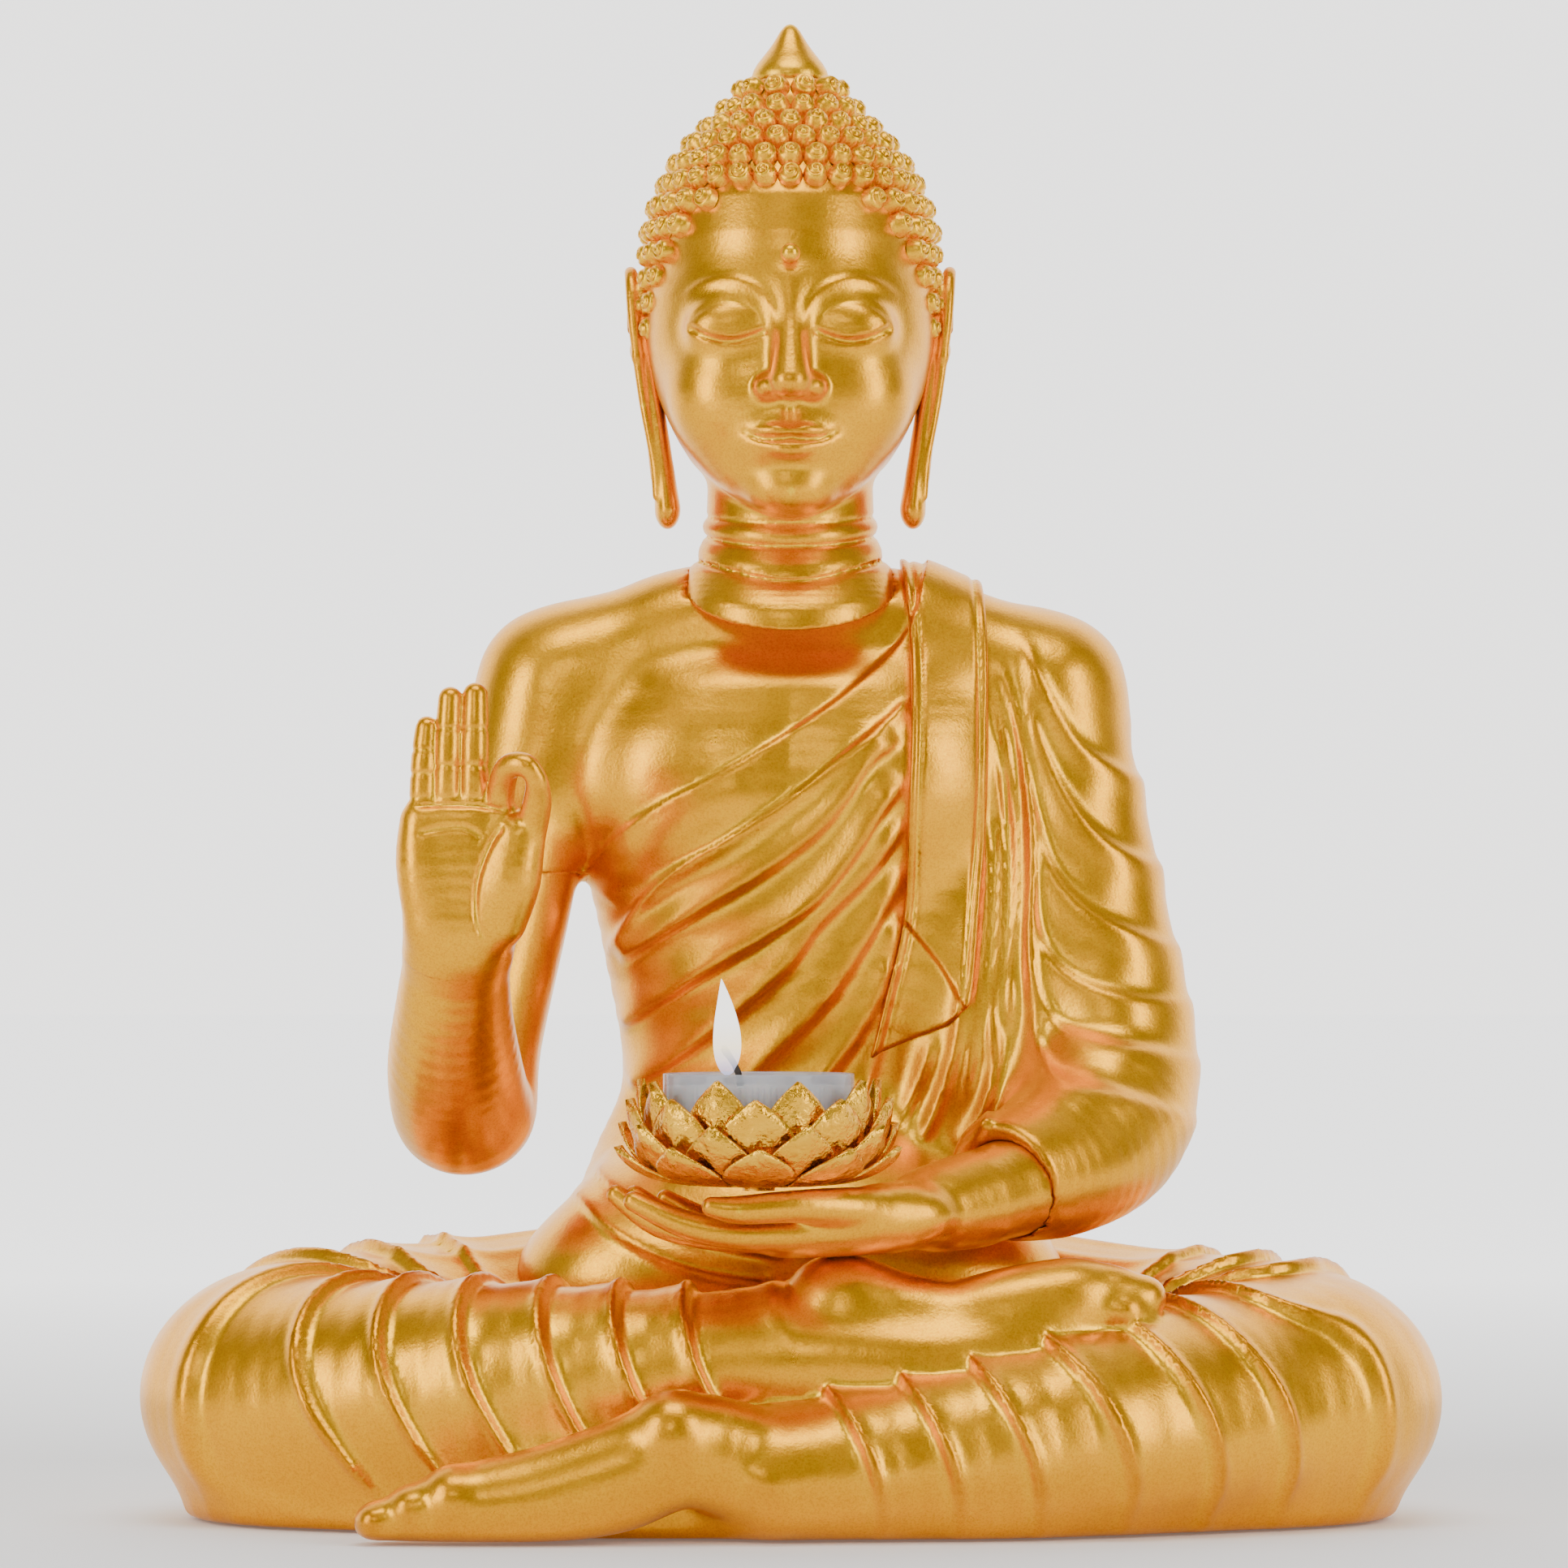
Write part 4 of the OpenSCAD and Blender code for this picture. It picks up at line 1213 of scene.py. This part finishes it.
finial_profile = [(0.0, 297.0), (7.2, 297.2), (7.9, 298.2), (8.0, 299.2), (7.7, 300.2),
                  (6.9, 301.6), (5.8, 303.0), (4.7, 304.4), (3.7, 305.8), (2.9, 307.1),
                  (2.2, 308.3), (1.5, 309.2), (0.8, 309.8), (0.0, 310.0)]
piece(lathe("finial_flame", finial_profile, (0, HEAD_Y), 48), "gold", "statue", "finial")
bead = [(2 * math.cos(a), 259 + 2 * math.sin(a)) for a in np.linspace(-math.pi / 2, math.pi / 2, 13)]
bead = [(max(r, 0.0), z) for r, z in bead]
piece(lathe("forehead_pearl", bead, (0, -17.7), 32), "gold", "statue", "forehead_bead")


# ---------------------------------------------------------------- lotus

LOTUS = (-6.3, -62.0)
PETALS, SHEET = 9, 0.55
LOTUS_FOOT, TIER_RISE = 69.8, 1.2
tiers = [(13, 27.8, 7.2), (16.5, 27.5, 10.5), (19, 26.3, 14.3), (20.9, 24.4, 16.6)]


def petal_width(v, point):
    if v < 0.42:
        return 0.66 + 0.34 * math.sin(v / 0.42 * math.pi / 2)
    return max(0.0, 1 - ((v - 0.42) / 0.58) ** point)


def lotus_tier(t):
    flat, tip_r, height = tiers[t]
    verts, faces = [], []
    base_z = LOTUS_FOOT + TIER_RISE * t
    across, along = 12, 14
    for k in range(PETALS):
        turn = 2 * math.pi * (k + 0.5 * (t % 2)) / PETALS
        lean = rng.normal(0, 0.35)
        twist = rng.normal(0, 0.02)
        start = len(verts)
        for layer in (0, 1):
            for j in range(along + 1):
                v = j / along
                a = v * math.pi / 2
                r = flat - 1.5 + (tip_r - flat + 1.5) * math.sin(a) + lean * v * v * 0.6
                r += (1.1, 0.9, 0.6, 0.2)[t] * v ** 4
                z = (height + 0.6) * (1 - math.cos(a)) * (1 + 0.02 * lean)
                half = math.pi / PETALS * 0.96 * max(petal_width(v, 1.6 if t < 2 else 2.8), 0.02)
                for i in range(across + 1):
                    u = 2 * i / across - 1
                    rib = 0.5 * math.exp(-(u / 0.13) ** 2) * math.sin(math.pi * min(1, v * 1.05))
                    cup = -0.8 * u * u * v + 0.25 * math.sin(7 * v + 3 * u + k) * v
                    rr = r + cup + rib + (0.0 if layer == 0 else -SHEET * math.sin(a))
                    zz = z + (0.0 if layer == 0 else SHEET * math.cos(a)) + 0.35 * u * u * v
                    ang = turn + u * half + twist * v
                    verts.append((LOTUS[0] + rr * math.sin(ang), LOTUS[1] - rr * math.cos(ang),
                                  base_z + zz))
        w = across + 1
        n = w * (along + 1)
        for j in range(along):
            for i in range(across):
                p = start + j * w + i
                faces.append((p, p + w, p + w + 1, p + 1))
                faces.append((n + p, n + p + 1, n + p + w + 1, n + p + w))
            for p, flipped in ((start + j * w, 0), (start + j * w + across, 1)):
                f = (p, n + p, n + p + w, p + w)
                faces.append(f[::-1] if flipped else f)
        for i in range(across):
            p = start + i
            faces.append((p, p + 1, n + p + 1, n + p))
            p = start + along * w + i
            faces.append((p + 1, p, n + p, n + p + 1))
    low, high, hole, rim = base_z, base_z + SHEET, 1.75, flat - 0.6
    points, quads = turned([(hole, low), (rim, low), (rim, high), (hole, high)], LOTUS, 72, True)
    faces.extend([tuple(len(verts) + q for q in quad) for quad in quads])
    verts.extend(points)
    piece(mesh_from(f"lotus_petals_{t + 1}", verts, faces), "lotus", "statue", f"lotus_tier_{t + 1}")


for t in range(4):
    lotus_tier(t)


# ---------------------------------------------------------------- tealight

def round_tube(name, path, radii, steps=14):
    verts, faces = [], []
    path = [Vector(p) for p in path]
    for i, p in enumerate(path):
        d = (path[min(i + 1, len(path) - 1)] - path[max(i - 1, 0)]).normalized()
        x = d.orthogonal().normalized() if i == 0 else (last_x - d * last_x.dot(d)).normalized()
        last_x = x
        y = d.cross(x)
        for k in range(steps):
            a = 2 * math.pi * k / steps
            q = p + (x * math.cos(a) + y * math.sin(a)) * radii[i]
            verts.append(tuple(q))
    for i in range(len(path) - 1):
        for k in range(steps):
            p, q = i * steps + k, i * steps + (k + 1) % steps
            faces.append((p, q, q + steps, p + steps))
    faces.append(tuple(range(steps))[::-1])
    faces.append(tuple(range(len(verts) - steps, len(verts))))
    return mesh_from(name, verts, faces)


wick_x = LOTUS[0] - 3.6
wick_path = [(wick_x, -62, 76.8), (wick_x, -62, 88.5), (wick_x - 0.1, -62, 90.5), (wick_x - 0.5, -62, 92.2),
             (wick_x - 1.2, -62, 93.8), (wick_x - 2.1, -62.1, 95.2), (wick_x - 2.8, -62.1, 96.2),
             (wick_x - 3.3, -62.1, 97.0), (wick_x - 3.4, -62.1, 97.6)]
piece(round_tube("burnt_wick_curl", wick_path, (0.7, 0.7, 0.7, 0.66, 0.62, 0.66, 0.8, 0.72, 0.35)),
      "wick", "tealight", "wick")

FLAME_FOOT, FLAME_TALL, FLAME_R = 91.4, 19.4, 3.1
flame_path, flame_radii = [], []
for i in range(26):
    v = i / 25
    flame_path.append((-12.6 - 1.2 * v + 0.5 * math.sin(3 * v), -62, FLAME_FOOT + FLAME_TALL * v))
    flame_radii.append(max(0.05, FLAME_R * math.sin(math.pi * min(1, v ** 0.72)) ** 0.85 * (1 - 0.25 * v)))
flame_obj = round_tube("candle_flame", flame_path, flame_radii, 28)
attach(flame_obj, "tealight")
flame_obj.data.materials.append(flame)

cup_profile = [(0.0, 75.6), (18.2, 75.6), (18.7, 75.85), (18.95, 76.4), (19.0, 91.5), (19.0, 91.95),
               (18.75, 92.1), (18.4, 91.95), (18.3, 91.5), (18.3, 76.7), (18.0, 76.4), (0.0, 76.35)]
piece(lathe("clear_cup_shell", cup_profile, LOTUS, 96), "clear_cup", "tealight", "tealight_cup")

# The pieces that stay as the frame has them take their finish only
for node, slot in (("waist_dowels", "steel"), ("neck_dowel", "steel"), ("right_arm_dowel", "steel"),
                   ("right_wrist_dowel", "steel"), ("left_wrist_dowel", "steel"), ("lotus_rivet", "lotus"),
                   ("candle_seat", "lotus"), ("tealight_wax", "wax"), ("wick_clip", "clip"),
                   ("base_plate", "board"), ("felt_pad", "felt")):
    paint(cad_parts[node], slot)


# ---------------------------------------------------------------- floor, light and camera

def soft_light(name, at, aim, width, height, power):
    data = bpy.data.lights.new(name, "AREA")
    data.shape = "RECTANGLE"
    data.size, data.size_y = width, height
    data.energy = power
    obj = bpy.data.objects.new(name, data)
    obj.location = at
    obj.rotation_euler = (Vector(aim) - Vector(at)).to_track_quat("-Z", "Y").to_euler()
    obj.visible_camera = False
    bpy.context.collection.objects.link(obj)


FLOOR_HALF = 9000
corners = [(x * FLOOR_HALF, y * FLOOR_HALF, 0) for x, y in ((-1, -1), (1, -1), (1, 1), (-1, 1))]
floor = mesh_from("floor", corners, [(0, 1, 2, 3)], False)
pale = Paint("pale_floor")
pale.link(pale.ramp(pale.noise(3, 2, 0.5), [(0.3, (0.86, 0.86, 0.86)), (0.7, (0.88, 0.88, 0.88))]),
          "Base Color")
pale.set(Roughness=0.8, Specular_IOR_Level=0.1, Emission_Color=(1, 1, 1, 1))
depth = pale.t.nodes.new("ShaderNodeSeparateXYZ")
pale.t.links.new(pale.coord, depth.inputs[0])
pale.link(pale.range(depth.outputs[1], 0.15, 1.0, 0.1, 1.55), "Emission Strength")
floor.data.materials.append(pale.m)

soft_light("left_softbox", (-0.95, -0.75, 0.45), (0, 0, 0.13), 0.5, 0.9, 7.2)
soft_light("right_softbox", (0.95, -0.7, 0.45), (0, 0, 0.13), 0.45, 0.9, 6.4)
soft_light("top_softbox", (0, -0.4, 1.2), (0, 0, 0.1), 0.8, 0.5, 6.5)
soft_light("front_fill", (-0.3, -2.0, 1.0), (0, 0, 0.12), 0.5, 0.5, 3)

# The room is bright behind the figure and dim in front of it
world = bpy.data.worlds.new("studio")
bpy.context.scene.world = world
world.use_nodes = True
sky = world.node_tree
axes = sky.nodes.new("ShaderNodeSeparateXYZ")
sky.links.new(sky.nodes.new("ShaderNodeTexCoord").outputs["Generated"], axes.inputs[0])
glow = sky.nodes.new("ShaderNodeMapRange")
for i, v in zip((1, 2, 3, 4), (0.25, 0.55, 0.34, 2.5)):
    glow.inputs[i].default_value = v
sky.links.new(axes.outputs[1], glow.inputs[0])
sky.links.new(glow.outputs[0], sky.nodes["Background"].inputs[1])
sky.nodes["Background"].inputs[0].default_value = (1.0, 0.985, 0.97, 1)

cam_data = bpy.data.cameras.new("camera")
cam_data.lens = 166.4
cam_data.sensor_width = 36
cam_data.shift_y = 0.0947
cam_data.clip_end = 20
cam = bpy.data.objects.new("camera", cam_data)
cam.location = (-0.0013, -1.5, 0.12)
cam.rotation_euler = (math.pi / 2, 0, 0)
bpy.context.collection.objects.link(cam)
bpy.context.scene.camera = cam
